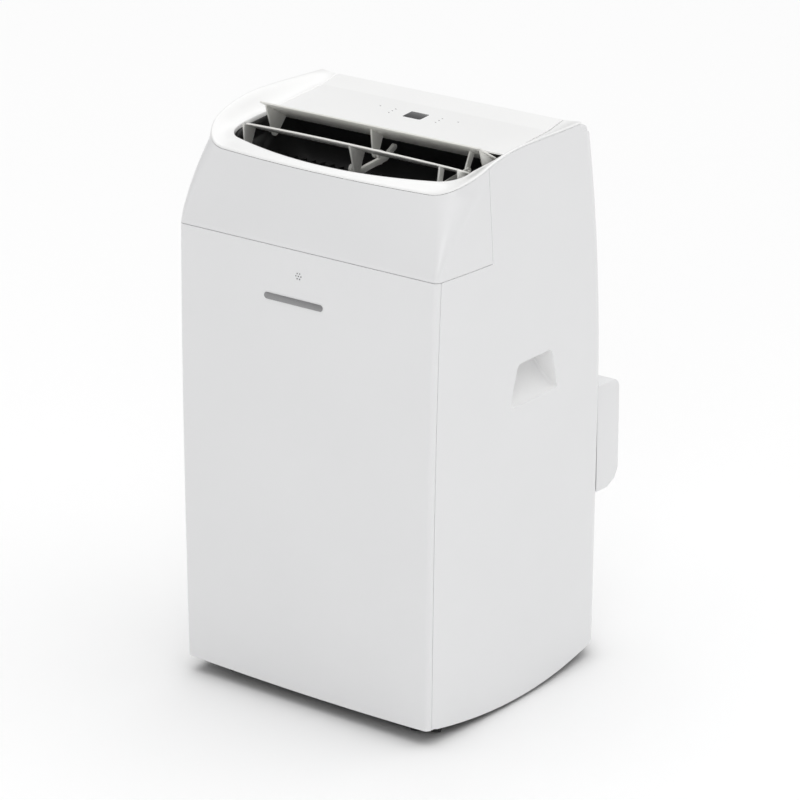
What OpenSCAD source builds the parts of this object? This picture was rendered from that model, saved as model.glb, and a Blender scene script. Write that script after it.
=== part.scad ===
// Portable air conditioner on castors: moulded shell, sloping top with two swinging louvers,
// slide-out rear filters, an exhaust housing for a round hose, and the cooling unit inside.

/* [Body] */
// Greatest width, across the bowed sides
body_w = 445; // [370:5:540]
// Depth from the front panel to the rear face
body_d = 402; // [370:2:490]
// Height from the floor to the top of the shoulders
body_h = 790; // [740:5:950]
// Thickness of the moulded shell
shell_t = 2.5; // [2:0.5:3.5]
// Gap between neighbouring shell mouldings
seam_gap = 0.8; // [0.6:0.1:1.2]
// How far each side bows outwards
side_bow = 8.5; // [4:0.5:12]
// How much narrower each side is at the floor than at the seam
side_taper = 6; // [0:1:12]
// Clearance under the front and rear skirts
skirt_clear = 20; // [16:1:26]
// How much lower the skirt hangs at the middle of each side
skirt_drop = 13; // [6:1:13]
// Radius of the upright front corners
front_corner_r = 8; // [6:1:14]
// Radius of the upright rear corners
rear_corner_r = 34; // [30:1:55]

/* [Fascia and top] */
// Height of the fascia, from its seam with the front panel up to the crease
fascia_h = 103; // [85:1:125]
// How far the crease lies below the top of the shoulders
crease_drop = 42; // [38:1:50]
// Setback of the front face at the seam
seam_setback = 9; // [4:1:14]
// Setback of the front face at the crease
crease_setback = 38; // [30:1:46]
// Corner radius in plan at the crease
crease_corner_r = 48; // [36:1:60]
// How far the crease bows forward at its middle
crease_bow = 12; // [6:1:16]
// Distance from the front to the upright side seam of the fascia
side_seam_setback = 115; // [108:1:124]
// Width of the rim between the crease and the air outlet
rim_w = 14; // [10:1:18]
// Radius of the rounded rear top edge
rear_top_r = 50; // [44:1:56]
// Height of the step from the top down to the rear cap
rear_step = 5; // [3:1:7]
// Forward lean of the rear face at its top
rear_lean = 34; // [20:1:40]

/* [Air outlet and louvers] */
// Half width of the outlet
outlet_half_w = 189; // [186:1:196]
// Setback of the rear edge of the outlet
outlet_back_setback = 183; // [180:1:186]
// Corner radius at the front of the outlet
outlet_corner_r = 35; // [28:1:40]
// How far the outlet's front edge bows forward
outlet_bow = 20; // [14:1:24]
// Slope of the rim and the front louver when it is closed
front_slope = 11; // [9:1:12]
// Slope of the control panel and the rear louver when it is closed
rear_slope = 5; // [4:1:6]
// Width of each louver blade, front to back
blade_w = 62; // [58:1:62]
// Thickness of a louver blade
blade_t = 2.2; // [1.8:0.2:2.6]
// Opening angle of the louvers as the part stands
louver_open = 36; // [20:1:36]
// Distance of a louver's pivot below its blade
pivot_drop = 25; // [24:1:26]
// Radius of a louver's pivot pins
pivot_r = 3; // [2.5:0.5:3]
// Radial clearance of pins that turn
turn_clear = 0.06; // [0.04:0.01:0.08]

/* [Handles, exhaust and filters] */
// Height of the top edge of each hand recess
grip_top_h = 491; // [470:1:520]
// Height of a hand recess
grip_h = 58; // [50:1:64]
// Width of a hand recess at its base
grip_base_w = 108; // [96:1:116]
// Width of a hand recess at its top
grip_top_w = 78; // [70:1:86]
// Depth of a hand recess
grip_depth = 38; // [30:1:44]
// How far the exhaust housing stands out of the rear face
housing_out = 41; // [36:1:46]
// Width of the exhaust housing
housing_w = 186; // [176:1:190]
// Height of the exhaust housing
housing_h = 155; // [155:1:160]
// Height of the underside of the exhaust housing
housing_low = 240; // [225:1:250]
// Radius of the bore for the exhaust hose
hose_r = 62.5; // [60:0.5:64]
// Length of the exhaust collar
collar_len = 30; // [26:1:34]
// Width of the upper filter grille
upper_filter_w = 300; // [250:2:304]
// Height of the upper filter grille
upper_filter_h = 240; // [200:2:250]
// Width of the lower filter grille
lower_filter_w = 240; // [200:2:240]
// Height of the lower filter grille
lower_filter_h = 150; // [130:2:150]

/* [Castors] */
// Radius of a castor wheel
wheel_r = 20; // [19:0.5:21]
// Width of each of a castor's twin wheels
wheel_w = 12; // [10:0.5:13]
// Distance of a castor's wheels behind its swivel
castor_trail = 15; // [12:1:17]
// Setback of the castor swivels from the middle, left and right
castor_x = 165; // [150:1:168]
// Setback of the castor swivels from the middle, front and back
castor_y = 142; // [130:1:146]
// Radius of a castor's swivel pin
swivel_r = 4; // [3.5:0.5:4.5]

/* [Cooling unit] */
// Height of the deck between the hot and the cold compartment
deck_h = 390; // [384:1:396]
// Radius of the upper blower wheel
upper_wheel_r = 100; // [90:1:104]
// Radius of the lower blower wheel
lower_wheel_r = 72; // [66:1:74]
// Number of blades on a blower wheel
wheel_blades = 28; // [20:1:36]
// Radius of the compressor
compressor_r = 55; // [50:1:58]
// Height of the compressor's can
compressor_h = 190; // [170:1:200]

/* [Hidden] */

white = [0.93, 0.93, 0.93];
bright_white = [0.97, 0.97, 0.96];
ivory = [0.9, 0.9, 0.86];
black = [0.08, 0.08, 0.08];
graphite = [0.25, 0.25, 0.26];
steel = [0.72, 0.73, 0.75];
copper = [0.78, 0.45, 0.28];

$fn = 64;
eps = 0.02;

// Overall frame: the origin is on the floor at the middle of the overall width and depth.
front_y = -(body_d + housing_out) / 2;
rear_y = front_y + body_d;
mid_y = (front_y + rear_y) / 2;
mid_half_w = body_w / 2;
crease_h = body_h - crease_drop;
seam_h = crease_h - fascia_h;
bow_centre_y = front_y + 0.455 * body_d;
bow_span = 180;
crease_y = front_y + crease_setback;
top_back_y = rear_y - rear_lean - rear_top_r;
outlet_front_y = crease_y + rim_w;
outlet_back_y = front_y + outlet_back_setback;
slope_break_y = outlet_front_y + blade_w + 2;
rear_cap_h = body_h - 2 - rear_step - rear_top_r;
rear_lean_start = rear_cap_h - 333;

// ---- Shell surface -------------------------------------------------------------------------
// Front and rear faces, half width and corner radii of the body at height z.
function front_at(z) =
    z < seam_h ? front_y + seam_setback * pow(max(z, 0) / seam_h, 3)
    : front_y + seam_setback
      + (crease_setback - seam_setback) * pow((z - seam_h) / (crease_h - seam_h), 1.25);
function rear_at(z) =
    rear_y - rear_lean * pow(max(0, z - rear_lean_start) / (rear_cap_h - rear_lean_start), 1.8);
function rise(z) = min(1, max(0, (z - seam_h) / (crease_h - seam_h)));
function corner_at(z) = front_corner_r + (crease_corner_r - front_corner_r) * pow(rise(z), 1.6);
function bow_at(z) = crease_bow * pow(rise(z), 1.3);
function side_at(y, z) =
    mid_half_w - side_taper * (1 - min(z, seam_h) / seam_h)
    - side_bow * pow((y - bow_centre_y) / bow_span, 2);

// A point of the right half of the shell. Stations along the outline: 0 front, 1 front corner,
// 2 side up to the fascia's seam, 3 side behind it, 4 rear corner, 5 rear face. The skin is
// moved inwards by s.
function side_seam_y(z) = front_y + side_seam_setback + 4 - 0.08 * max(0, z - seam_h);
function shell_pt(seg, t, z, s) =
    let (yf = front_at(z) + s, yr = min(rear_at(z), rear_y) - s, bow = bow_at(z),
         r = max(1, corner_at(z) - s), rr = rear_corner_r - s,
         hw = side_at(yf + bow + r, z) - s, a = hw - r, phi = atan(2 * bow / a),
         xs = a + r * sin(phi), ys = yf + bow * pow(xs / a, 2), yc = ys + r * cos(phi),
         psi = 5, ye = yr - rr * (1 - sin(psi)), xe = side_at(ye, z) - s, xc = xe - rr * cos(psi))
    seg == 0 ? [xs * t, yf + bow * pow(xs * t / a, 2), z]
    : seg == 1 ? let (th = phi + (90 - phi) * t) [a + r * sin(th), yc - r * cos(th), z]
    : seg == 2 ? let (y = yc + (side_seam_y(z) - yc) * t) [side_at(y, z) - s, y, z]
    : seg == 3 ? let (y = side_seam_y(z) + (ye - side_seam_y(z)) * t) [side_at(y, z) - s, y, z]
    : seg == 4 ? let (th = psi + (90 - psi) * t) [xc + rr * cos(th), yr - rr + rr * sin(th), z]
    : [xc * (1 - t), yr, z];

// Height of the wall's top edge (the shoulder line) above a point at depth y.
shoulder_run = 150;
function shoulder_h(y) =
    y > top_back_y ? rear_cap_h + sqrt(max(0, pow(rear_top_r, 2) - pow(y - top_back_y, 2)))
    : y < crease_y + crease_bow ? crease_h
    : let (f = min(1, (y - crease_y - crease_bow) / shoulder_run))
      crease_h + (body_h - crease_h) * (1 - pow(1 - f, 2.3)) - 1.5 * max(0, y) / top_back_y;

// Height of the recessed top surface (rim, control panel and rear strip) at depth y.
strip_y = top_back_y - 35;
function top_h(y) =
    y < slope_break_y ? crease_h + 4 + (y - outlet_front_y) * tan(front_slope)
    : y < strip_y ? top_h(slope_break_y - eps) + (y - slope_break_y) * tan(rear_slope)
    : top_h(strip_y - eps) + (y - strip_y) * tan(12);

// Lower edge of the skirt.
function skirt_h(p) =
    abs(p[1] - front_y) < 2 * front_corner_r ? skirt_clear + 4 * pow(p[0] / mid_half_w, 2)
    : skirt_clear + 4 - (skirt_drop + 5) * (1 - pow(min(1, abs(p[1] - mid_y)
      / (body_d / 2 - 6)), 2));

// Height where a wall column meets the shoulder line, found by closing in on it.
function wall_top(seg, t, drop, n = 6, z = crease_h - 8) =
    n == 0 ? z - drop : wall_top(seg, t, drop, n - 1, shoulder_h(shell_pt(seg, t, z, 0)[1]));

function mirrored(cols) = [for (i = [len(cols) - 1 : -1 : 0]) [cols[i][0], cols[i][1], -1]];
function righted(cols) = [for (c = cols) [c[0], c[1], 1]];
function stations(seg, t0, t1, n) = [for (i = [0 : n]) [seg, t0 + (t1 - t0) * i / n]];
function place(c, z, s) =
    let (p = shell_pt(c[0], c[1], z, s)) [c[2] * p[0], p[1], p[2]];

// A closed skin between two grids of points: outer[row][column] and inner[row][column].
module skin(outer, inner) {
    rows = len(outer);
    cols = len(outer[0]);
    n = rows * cols;
    points = concat([for (r = outer) each r], [for (r = inner) each r]);
    function at(r, c) = r * cols + c;
    function quad(a, b, c, d) = [[a, b, c], [a, c, d]];
    faces = concat(
        [for (r = [0 : rows - 2]) for (c = [0 : cols - 2])
            each quad(at(r, c), at(r + 1, c), at(r + 1, c + 1), at(r, c + 1))],
        [for (r = [0 : rows - 2]) for (c = [0 : cols - 2])
            each quad(n + at(r, c), n + at(r, c + 1), n + at(r + 1, c + 1), n + at(r + 1, c))],
        [for (c = [0 : cols - 2])
            each quad(at(0, c), at(0, c + 1), n + at(0, c + 1), n + at(0, c))],
        [for (c = [0 : cols - 2])
            each quad(at(rows - 1, c + 1), at(rows - 1, c), n + at(rows - 1, c),
                      n + at(rows - 1, c + 1))],
        [for (r = [0 : rows - 2])
            each quad(at(r + 1, 0), at(r, 0), n + at(r, 0), n + at(r + 1, 0))],
        [for (r = [0 : rows - 2])
            each quad(at(r, cols - 1), at(r + 1, cols - 1), n + at(r + 1, cols - 1),
                      n + at(r, cols - 1))]);
    polyhedron(points, faces, convexity = 6);
}

// A wall of the shell over the given columns, between two height functions.
module wall(cols, rows, low, high) {
    outer = [for (r = [0 : rows]) [for (i = [0 : len(cols) - 1])
        place(cols[i], low[i] + (high[i] - low[i]) * r / rows, 0)]];
    inner = [for (r = [0 : rows]) [for (i = [0 : len(cols) - 1])
        place(cols[i], low[i] + (high[i] - low[i]) * r / rows, shell_t)]];
    skin(outer, inner);
}

function lows(cols) = [for (c = cols) skirt_h(shell_pt(c[0], c[1], 30, 0))];
function highs(cols) = [for (c = cols) wall_top(c[0], c[1], shell_t + 3 * seam_gap)];
function level(cols, z) = [for (c = cols) z];

module front_panel() {
    half = concat(stations(0, 0, 1, 4), stations(1, 0.25, 1, 3));
    cols = concat(mirrored(half), [for (i = [1 : len(half) - 1]) [half[i][0], half[i][1], 1]]);
    color(white) wall(cols, 9, lows(cols), level(cols, seam_h - seam_gap / 2));
}

module fascia() {
    half = concat(stations(0, 0, 1, 10), stations(1, 0.125, 1, 7), stations(2, 0.2, 1, 4));
    cols = concat(mirrored(half), [for (i = [1 : len(half) - 1]) [half[i][0], half[i][1], 1]]);
    color(white) wall(cols, 8, level(cols, seam_h + seam_gap / 2), highs(cols));
}

// Outline of a hand recess in the plane of the side, grown outwards by g.
grip_y = front_y + 217;
module grip_outline(g) {
    low = grip_top_h - grip_h;
    offset(delta = g)
        polygon([[grip_y - grip_base_w / 2, low], [grip_y + grip_base_w / 2, low],
                 [grip_y + grip_base_w / 2 - 4, low + 14], [grip_y + grip_top_w / 2, grip_top_h - 8],
                 [grip_y + grip_top_w / 2 - 7, grip_top_h], [grip_y - grip_top_w / 2 + 7, grip_top_h],
                 [grip_y - grip_top_w / 2, grip_top_h - 8],
                 [grip_y - grip_base_w / 2 + 4, low + 14]]);
}

// Prism of a profile drawn in the YZ plane, from x0 to x1.
module along_x(x0, x1) {
    translate([x0, 0, 0]) rotate([90, 0, 90]) linear_extrude(x1 - x0) children();
}

module side_panel() {
    half = concat(stations(2, 0.006, 1, 4), [for (i = [1 : 12]) [3, i / 12]],
                  [for (i = [1 : 6]) [4, i / 6]]);
    cols = righted(half);
    cut_z = seam_h - seam_gap / 2;
    cut_y = side_seam_y(seam_h) + seam_gap;
    difference() {
        wall(cols, 14, lows(cols), highs(cols));
        along_x(mid_half_w - 100, mid_half_w + 20)
            polygon([[front_y - 10, cut_z], [cut_y, cut_z],
                     [side_seam_y(body_h) + seam_gap, body_h + 10], [front_y - 10, body_h + 10]]);
        along_x(mid_half_w - 30, mid_half_w + 20) grip_outline(seam_gap);
    }
}
module side_panel_right() color(white) side_panel();
module side_panel_left() color(white) mirror([1, 0, 0]) side_panel();

// The hand recess: a deep pocket behind the top edge and a scooped floor below.
cup_clear = 0.4;
module handle_cup() {
    face_x = side_at(grip_y, grip_top_h) - 1.5;
    in_x = face_x - grip_depth;
    low = grip_top_h - grip_h;
    margin = 2 * shell_t;
    front_x = side_at(grip_y + grip_base_w / 2 + margin, low) - shell_t - cup_clear;
    difference() {
        translate([in_x - shell_t, grip_y - grip_base_w / 2 - margin, low - margin])
            cube([front_x - in_x + shell_t, grip_base_w + 2 * margin, grip_h + 10 + 3 * shell_t]);
        intersection() {
            translate([0, grip_y + grip_base_w / 2, 0]) rotate([90, 0, 0])
                linear_extrude(grip_base_w)
                polygon([[face_x + 5, low], [face_x - 6, low + 1], [face_x - 18, low + 8],
                         [face_x - 30, low + 22], [in_x, low + 40], [in_x, grip_top_h + 8],
                         [in_x + 4, grip_top_h + 10], [face_x - 10, grip_top_h + 10],
                         [face_x - 7, grip_top_h], [face_x + 5, grip_top_h]]);
            union() {
                along_x(in_x - 1, face_x + 6) grip_outline(0);
                translate([in_x - 1, grip_y - grip_top_w / 2 + 2, low + 30])
                    cube([grip_depth - 8, grip_top_w - 4, grip_h]);
            }
        }
    }
}
module handle_cup_right() color(white) handle_cup();
module handle_cup_left() color(white) mirror([1, 0, 0]) handle_cup();

// ---- Rear of the shell ---------------------------------------------------------------------
filter_clear = 0.6;
upper_filter_z = deck_h + 170;
lower_filter_z = 145;
lower_filter_x = -40;
housing_x = body_w / 2 - 20 - housing_w / 2;
housing_z = housing_low + housing_h / 2;
drain_x = -120;
upper_drain_z = deck_h + 15;
lower_drain_z = 52;
gland_x = 120;
gland_z = 70;
spout_r = 9;
gland_r = 11;
upper_filter_y = rear_at(upper_filter_z);
filter_tilt = atan((rear_at(upper_filter_z - 1) - rear_at(upper_filter_z + 1)) / 2);

// Places its children on the leaning rear face, at the middle of the upper filter.
module on_upper_filter() {
    translate([0, upper_filter_y, upper_filter_z]) rotate([filter_tilt, 0, 0]) children();
}
module on_lower_filter() {
    translate([lower_filter_x, rear_y, lower_filter_z]) children();
}
// Hole for a filter grille of size w by h, with its running clearance.
module filter_slot(w, h) {
    depth = 30;
    translate([-w / 2 - filter_clear, -depth, -h / 2 - filter_clear])
        cube([w + 2 * filter_clear, 2 * depth, h + 2 * filter_clear]);
}
module rear_hole(x, z, r) translate([x, rear_y - 30, z]) rotate([-90, 0, 0]) cylinder(r = r, h = 60);

screw_inset = 10;
screw_heights = [57, 230, deck_h + 22, rear_cap_h - 33];
screw_spots = [for (m = [-1, 1]) for (z = screw_heights)
    [m * (shell_pt(5, 0, z, 0)[0] - screw_inset), z]];

module rear_cover() {
    cols = concat([for (i = [0 : 6]) [5, 0.008 + (1 - 0.008) * i / 6, 1]],
                  [for (i = [5 : -1 : 0]) [5, 0.008 + (1 - 0.008) * i / 6, -1]]);
    color(white) difference() {
        wall(cols, 16, lows(cols), level(cols, rear_cap_h - seam_gap));
        on_upper_filter() filter_slot(upper_filter_w, upper_filter_h);
        on_lower_filter() filter_slot(lower_filter_w, lower_filter_h);
        rear_hole(housing_x, housing_z, hose_r + 6);
        for (z = [upper_drain_z, lower_drain_z]) rear_hole(drain_x, z, spout_r);
        rear_hole(gland_x, gland_z, gland_r);
    }
}

// Plan of the shell at height z, moved inwards by s.
module shell_plan(z, s) {
    half = concat(stations(0, 0, 1, 8), stations(1, 0.1, 1, 6), stations(2, 0.2, 1, 4),
                  [for (i = [1 : 8]) [3, i / 8]], [for (i = [1 : 8]) [4, i / 8]]);
    right = [for (c = half) let (p = shell_pt(c[0], c[1], z, s)) [p[0], p[1]]];
    left = [for (i = [len(right) - 1 : -1 : 1]) [-right[i][0], right[i][1]]];
    polygon(concat(right, left));
}

module rear_top_cap() {
    straight = shell_pt(5, 0, rear_cap_h, 0)[0] - seam_gap;
    color(white) intersection() {
        along_x(-mid_half_w, mid_half_w) intersection() {
            translate([top_back_y, rear_cap_h]) difference() {
                circle(r = rear_top_r, $fn = 96);
                circle(r = rear_top_r - shell_t, $fn = 96);
            }
            translate([top_back_y, rear_cap_h]) square(2 * rear_top_r);
        }
        translate([0, 0, rear_cap_h - 1]) linear_extrude(rear_top_r + 10) {
            shell_plan(rear_cap_h + rear_top_r / 2, shell_t + 2 * seam_gap);
            translate([-straight, top_back_y]) square([2 * straight, 2 * rear_top_r]);
        }
    }
}

// ---- Top ----------------------------------------------------------------------------------
// Front edge and sides of the air outlet in plan, moved inwards by s, for stations 0 to 2.
function outlet_pt(seg, t, s) =
    let (hw = outlet_half_w - s, yf = outlet_front_y + s, r = outlet_corner_r, a = hw - r,
         phi = atan(2 * outlet_bow / a), xs = a + r * sin(phi),
         ys = yf + outlet_bow * pow(xs / a, 2), yc = ys + r * cos(phi))
    seg == 0 ? [xs * t, yf + outlet_bow * pow(xs * t / a, 2)]
    : seg == 1 ? let (th = phi + (90 - phi) * t) [a + r * sin(th), yc - r * cos(th)]
    : [hw, yc + (top_back_y - yc) * t];

// Shoulder line of the shell at a station; station 2 runs on to the back edge of the top.
function shoulder_pt(seg, t) =
    seg < 2 ? let (z = wall_top(seg, t, 0)) shell_pt(seg, t, z, 0)
    : let (a = shoulder_pt(1, 1), y = a[1] + (top_back_y - a[1]) * t, z = shoulder_h(y - eps))
      [side_at(y, z), y, z];

module top_rim() {
    half = concat(stations(0, 0, 1, 10), stations(1, 0.125, 1, 7), stations(2, 0.0625, 1, 15));
    cols = concat(mirrored(half), [for (i = [1 : len(half) - 1]) [half[i][0], half[i][1], 1]]);
    steps = 4;
    function band(c, f) =
        let (a = shoulder_pt(c[0], c[1]), b = outlet_pt(c[0], c[1], 0), zb = top_h(b[1]),
             g = pow(f, 1.3), z = a[2] + (zb - a[2]) * (f * f * (3 - 2 * f)))
        [c[2] * (a[0] + (b[0] - a[0]) * g), a[1] + (b[1] - a[1]) * g, z];
    outer = [for (r = [0 : steps]) [for (c = cols) band(c, r / steps)]];
    inner = [for (row = outer) [for (p = row) [p[0], p[1], p[2] - shell_t]]];
    color(bright_white) skin(outer, inner);
}

// The outlet's plan, closed by a straight edge at y_back.
module outlet_plan(s, y_back) {
    half = concat(stations(0, 0, 1, 8), stations(1, 0.125, 1, 7));
    right = concat([for (c = half) outlet_pt(c[0], c[1], s)], [[outlet_half_w - s, y_back]]);
    left = [for (i = [len(right) - 1 : -1 : 1]) [-right[i][0], right[i][1]]];
    polygon(concat(right, left));
}

// Side profile of the recessed top surface between y0 and y1, t thick.
module top_profile(y0, y1, t) {
    ys = concat([y0], [for (y = [slope_break_y, strip_y]) if (y > y0 && y < y1) y], [y1]);
    upper = [for (y = ys) [y, top_h(y)]];
    lower = [for (i = [len(ys) - 1 : -1 : 0]) [ys[i], top_h(ys[i]) - t]];
    polygon(concat(upper, lower));
}

louver_room = 2;
display_w = 30;
display_d = 22;
display_y = front_y + 246;
lens_r = 1.5;
lens_spots = concat([for (s = [-1, 1]) for (k = [-1 : 1]) [s * 39, display_y + 7.6 * k]],
                    [for (s = [-1, 1]) [s * 65, display_y + 7.6]]);

module control_panel() {
    color(bright_white) difference() {
        along_x(-outlet_half_w + seam_gap, outlet_half_w - seam_gap)
            top_profile(outlet_back_y + louver_room, top_back_y, shell_t);
        translate([-display_w / 2 - 0.2, display_y - display_d / 2 - 0.2, crease_h])
            cube([display_w + 0.4, display_d + 0.4, 80]);
        for (p = lens_spots) translate([p[0], p[1], crease_h]) cylinder(r = lens_r + 0.1, h = 80);
    }
}

module display_window() {
    color(black) along_x(-display_w / 2, display_w / 2)
        top_profile(display_y - display_d / 2, display_y + display_d / 2, shell_t);
}

module indicator_lenses() {
    color(graphite) for (p = lens_spots)
        translate([p[0], p[1], top_h(p[1]) - 3]) cylinder(r = lens_r, h = 3);
}

module control_board() {
    board_w = 170;
    board_d = 44;
    hole_inset = 5;
    y0 = display_y - board_d / 2;
    z0 = top_h(y0) - 16;
    color("seagreen") difference() {
        union() {
            translate([-board_w / 2, y0, z0]) cube([board_w, board_d, 1.6]);
            for (p = lens_spots) translate([p[0], p[1], z0]) cylinder(r = lens_r + 0.7, h = 7);
            translate([-display_w / 2, display_y - display_d / 2, z0])
                cube([display_w, display_d, 8]);
        }
        for (m = [-1, 1]) for (y = [y0 + hole_inset, y0 + board_d - hole_inset])
            translate([m * (board_w / 2 - hole_inset), y, z0 - 1]) cylinder(r = 1.7, h = 4);
    }
}

// ---- Marks on the front --------------------------------------------------------------------
badge_w = 98;
badge_h = 9;
badge_x = -18;
badge_z = seam_h - 70;
sensor_x = -10;
sensor_z = seam_h - 34;
sensor_dot_r = 0.8;
sensor_ring_r = 4.2;

// Places its children on the leaning front face at x and height z, with +Z outwards.
module on_front(x, z) {
    lean = atan((front_at(z + 1) - front_at(z - 1)) / 2);
    translate([x, front_at(z) - 0.1, z]) rotate([90 - lean, 0, 0]) children();
}
module badge() {
    color(steel) on_front(badge_x, badge_z) linear_extrude(0.8) hull()
        for (s = [-1, 1]) translate([s * (badge_w - badge_h) / 2, 0]) circle(d = badge_h);
}

module sensor_window() {
    color(graphite) on_front(sensor_x, sensor_z) {
        for (a = [0 : 60 : 300]) rotate(a) translate([sensor_ring_r, 0, 0])
            cylinder(r = sensor_dot_r, h = 0.5);
        cylinder(r = sensor_dot_r, h = 0.5);
    }
}

// ---- Outlet duct and louvers ---------------------------------------------------------------
duct_t = 2;
duct_floor_h = crease_h - 93;
duct_back_y = front_y + 262;
scroll_y0 = front_y + 176;
scroll_y1 = front_y + 262;

module duct_side(g) {
    throat_h = duct_floor_h + 45;
    offset(delta = g) polygon([
        [outlet_front_y - 2, crease_h - 3], [outlet_front_y - 2, throat_h + 6],
        [outlet_front_y + 20, throat_h - 10], [outlet_front_y + 60, duct_floor_h + 18],
        [scroll_y0 + 2, duct_floor_h], [duct_back_y - 2, duct_floor_h],
        [duct_back_y - 2, throat_h], [duct_back_y - 12, throat_h + 22],
        [outlet_back_y + 26, crease_h + 4], [outlet_back_y + 16, crease_h + 17],
        [slope_break_y, top_h(slope_break_y) - shell_t - 4]]);
}

module outlet_duct() {
    half_w = outlet_half_w;
    color(black) difference() {
        along_x(-half_w, half_w) duct_side(0);
        along_x(-half_w + duct_t, half_w - duct_t) duct_side(-duct_t);
        // open mouth under the louvers
        along_x(-half_w + duct_t, half_w - duct_t) polygon([
            [outlet_front_y + 1, crease_h - 12], [outlet_back_y + 10, crease_h - 6],
            [outlet_back_y + 10, body_h], [outlet_front_y - 4, body_h],
            [outlet_front_y - 4, crease_h - 12]]);
        // slot that the blower's scroll discharges through
        translate([-upper_wheel_r, scroll_y0 + 4, duct_floor_h - 5])
            cube([2 * upper_wheel_r, scroll_y1 - scroll_y0 - 8, 10]);
        // corners cut to follow the outlet's rounded plan
        for (m = [0, 1]) mirror([m, 0, 0]) translate([0, 0, duct_floor_h - 55]) linear_extrude(200)
            difference() {
                translate([outlet_half_w - 90, outlet_front_y - 10]) square([100, 90]);
                outlet_plan(0, outlet_front_y + 90);
            }
        for (p = [front_pivot, rear_pivot]) for (m = [-1, 1])
            translate([m * (half_w - 4), p[0], p[1]]) rotate([0, 90, 0])
            cylinder(r = pivot_r + turn_clear, h = 20, center = true);
    }
}

guard_pitch = 16;
module outlet_guard() {
    z0 = crease_h - 51;
    y0 = outlet_front_y + 30;
    y1 = outlet_back_y + 10;
    w = outlet_half_w - duct_t - 8;
    color(graphite) union() {
        for (y = [y0 + 4, (y0 + y1) / 2, y1 - 4])
            translate([-w, y - 2, z0]) cube([2 * w, 4, 3]);
        for (x = [-w + 2 : guard_pitch : w]) translate([x - 1, y0, z0 + 1]) cube([2, y1 - y0, 5]);
    }
}

// Louver blades in their closed place: centre, slope and pivot of each, as [y, z].
blade_gap = 2;
front_blade = [outlet_front_y + blade_gap + blade_w / 2,
               top_h(outlet_front_y + blade_gap + blade_w / 2) - blade_t - 0.5];
rear_blade = [outlet_back_y - blade_gap - blade_w / 2,
              top_h(outlet_back_y - blade_gap - blade_w / 2) - blade_t - 0.5];
front_pivot_back = 20;
rear_pivot_back = 15;
function pivot_of(c, slope, back) =
    [c[0] + back * cos(slope) + pivot_drop * sin(slope),
     c[1] + back * sin(slope) - pivot_drop * cos(slope)];
front_pivot = pivot_of(front_blade, front_slope, front_pivot_back);
rear_pivot = pivot_of(rear_blade, rear_slope, rear_pivot_back);
arm_t = 2.5;
end_arm_x = outlet_half_w - duct_t - 8;
mid_arm_x = 7;
link_x = 150;
crank_r = 14;
link_pin_r = 2;
eye_w = 2.2;

// Puts a louver, drawn closed about its pivot with its chord along Y, at its opened angle.
module louver_at(pivot, slope) {
    translate([0, pivot[0], pivot[1]]) rotate([slope - louver_open, 0, 0]) children();
}
module arm_profile(back, w0, w1) {
    hull() {
        circle(r = pivot_r + 3.5);
        translate([-back - w0, pivot_drop - 1]) square([w0 + w1, 1 + eps]);
    }
}
// Arms, crank and pins that a louver blade carries, about its pivot. The end arms reach ends[0]
// ahead of the blade's middle and ends[1] behind it, and the middle arm mid[0] and mid[1].
module louver_arms(back, ends, mid, mid_x) {
    pin_end = outlet_half_w - duct_t / 2;
    for (x = [-end_arm_x, end_arm_x - arm_t])
        along_x(x, x + arm_t) arm_profile(back, ends[0], ends[1]);
    along_x(mid_x - arm_t / 2, mid_x + arm_t / 2) arm_profile(back, mid[0], mid[1]);
    for (m = [0, 1]) mirror([m, 0, 0]) translate([end_arm_x - eps, 0, 0]) rotate([0, 90, 0])
        cylinder(r = pivot_r, h = pin_end - end_arm_x);
    translate([mid_x + (mid_x > 0 ? -6 : 0), 0, 0]) rotate([0, 90, 0]) cylinder(r = pivot_r, h = 6);
    along_x(link_x, link_x + arm_t) hull() {
        translate([-back - 5, pivot_drop - 1]) square([10, 1 + eps]);
        translate([-crank_r, 0]) circle(r = link_pin_r + eye_w);
    }
    translate([link_x + arm_t - eps, -crank_r, 0]) rotate([0, 90, 0])
        cylinder(r = link_pin_r, h = 5);
}

module rear_louver() {
    color(ivory) louver_at(rear_pivot, rear_slope) union() {
        translate([-end_arm_x - 3, -rear_pivot_back - blade_w / 2, pivot_drop - eps])
            cube([2 * end_arm_x + 6, blade_w, blade_t]);
        louver_arms(rear_pivot_back, [22, 26], [10, 18], -mid_arm_x);
    }
}

module front_louver() {
    color(ivory) louver_at(front_pivot, front_slope) union() {
        intersection() {
            translate([0, -front_pivot_back - front_blade[0], pivot_drop - eps])
                linear_extrude(blade_t) outlet_plan(3.5, front_blade[0] + blade_w / 2);
            translate([-end_arm_x - 3, -200, 0]) cube([2 * end_arm_x + 6, 400, 60]);
        }
        louver_arms(front_pivot_back, [1, 26], [8, 26], mid_arm_x);
    }
}

// The link that keeps both louvers parallel: it hangs on the rear louver's crank pin, and the
// front louver's pin stands in its other eye with clearance.
function crank_pin(pivot, slope) =
    pivot - crank_r * [cos(slope - louver_open), sin(slope - louver_open)];
module louver_link() {
    rear_pin = crank_pin(rear_pivot, rear_slope);
    front_pin = crank_pin(front_pivot, front_slope);
    color(ivory) along_x(link_x + arm_t + 0.5, link_x + arm_t + 3) difference() {
        hull() {
            for (p = [rear_pin, front_pin]) translate(p) circle(r = link_pin_r + 1 + eye_w);
        }
        translate(rear_pin) circle(r = link_pin_r + turn_clear);
        translate(front_pin) circle(r = link_pin_r + 1);
    }
}

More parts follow.
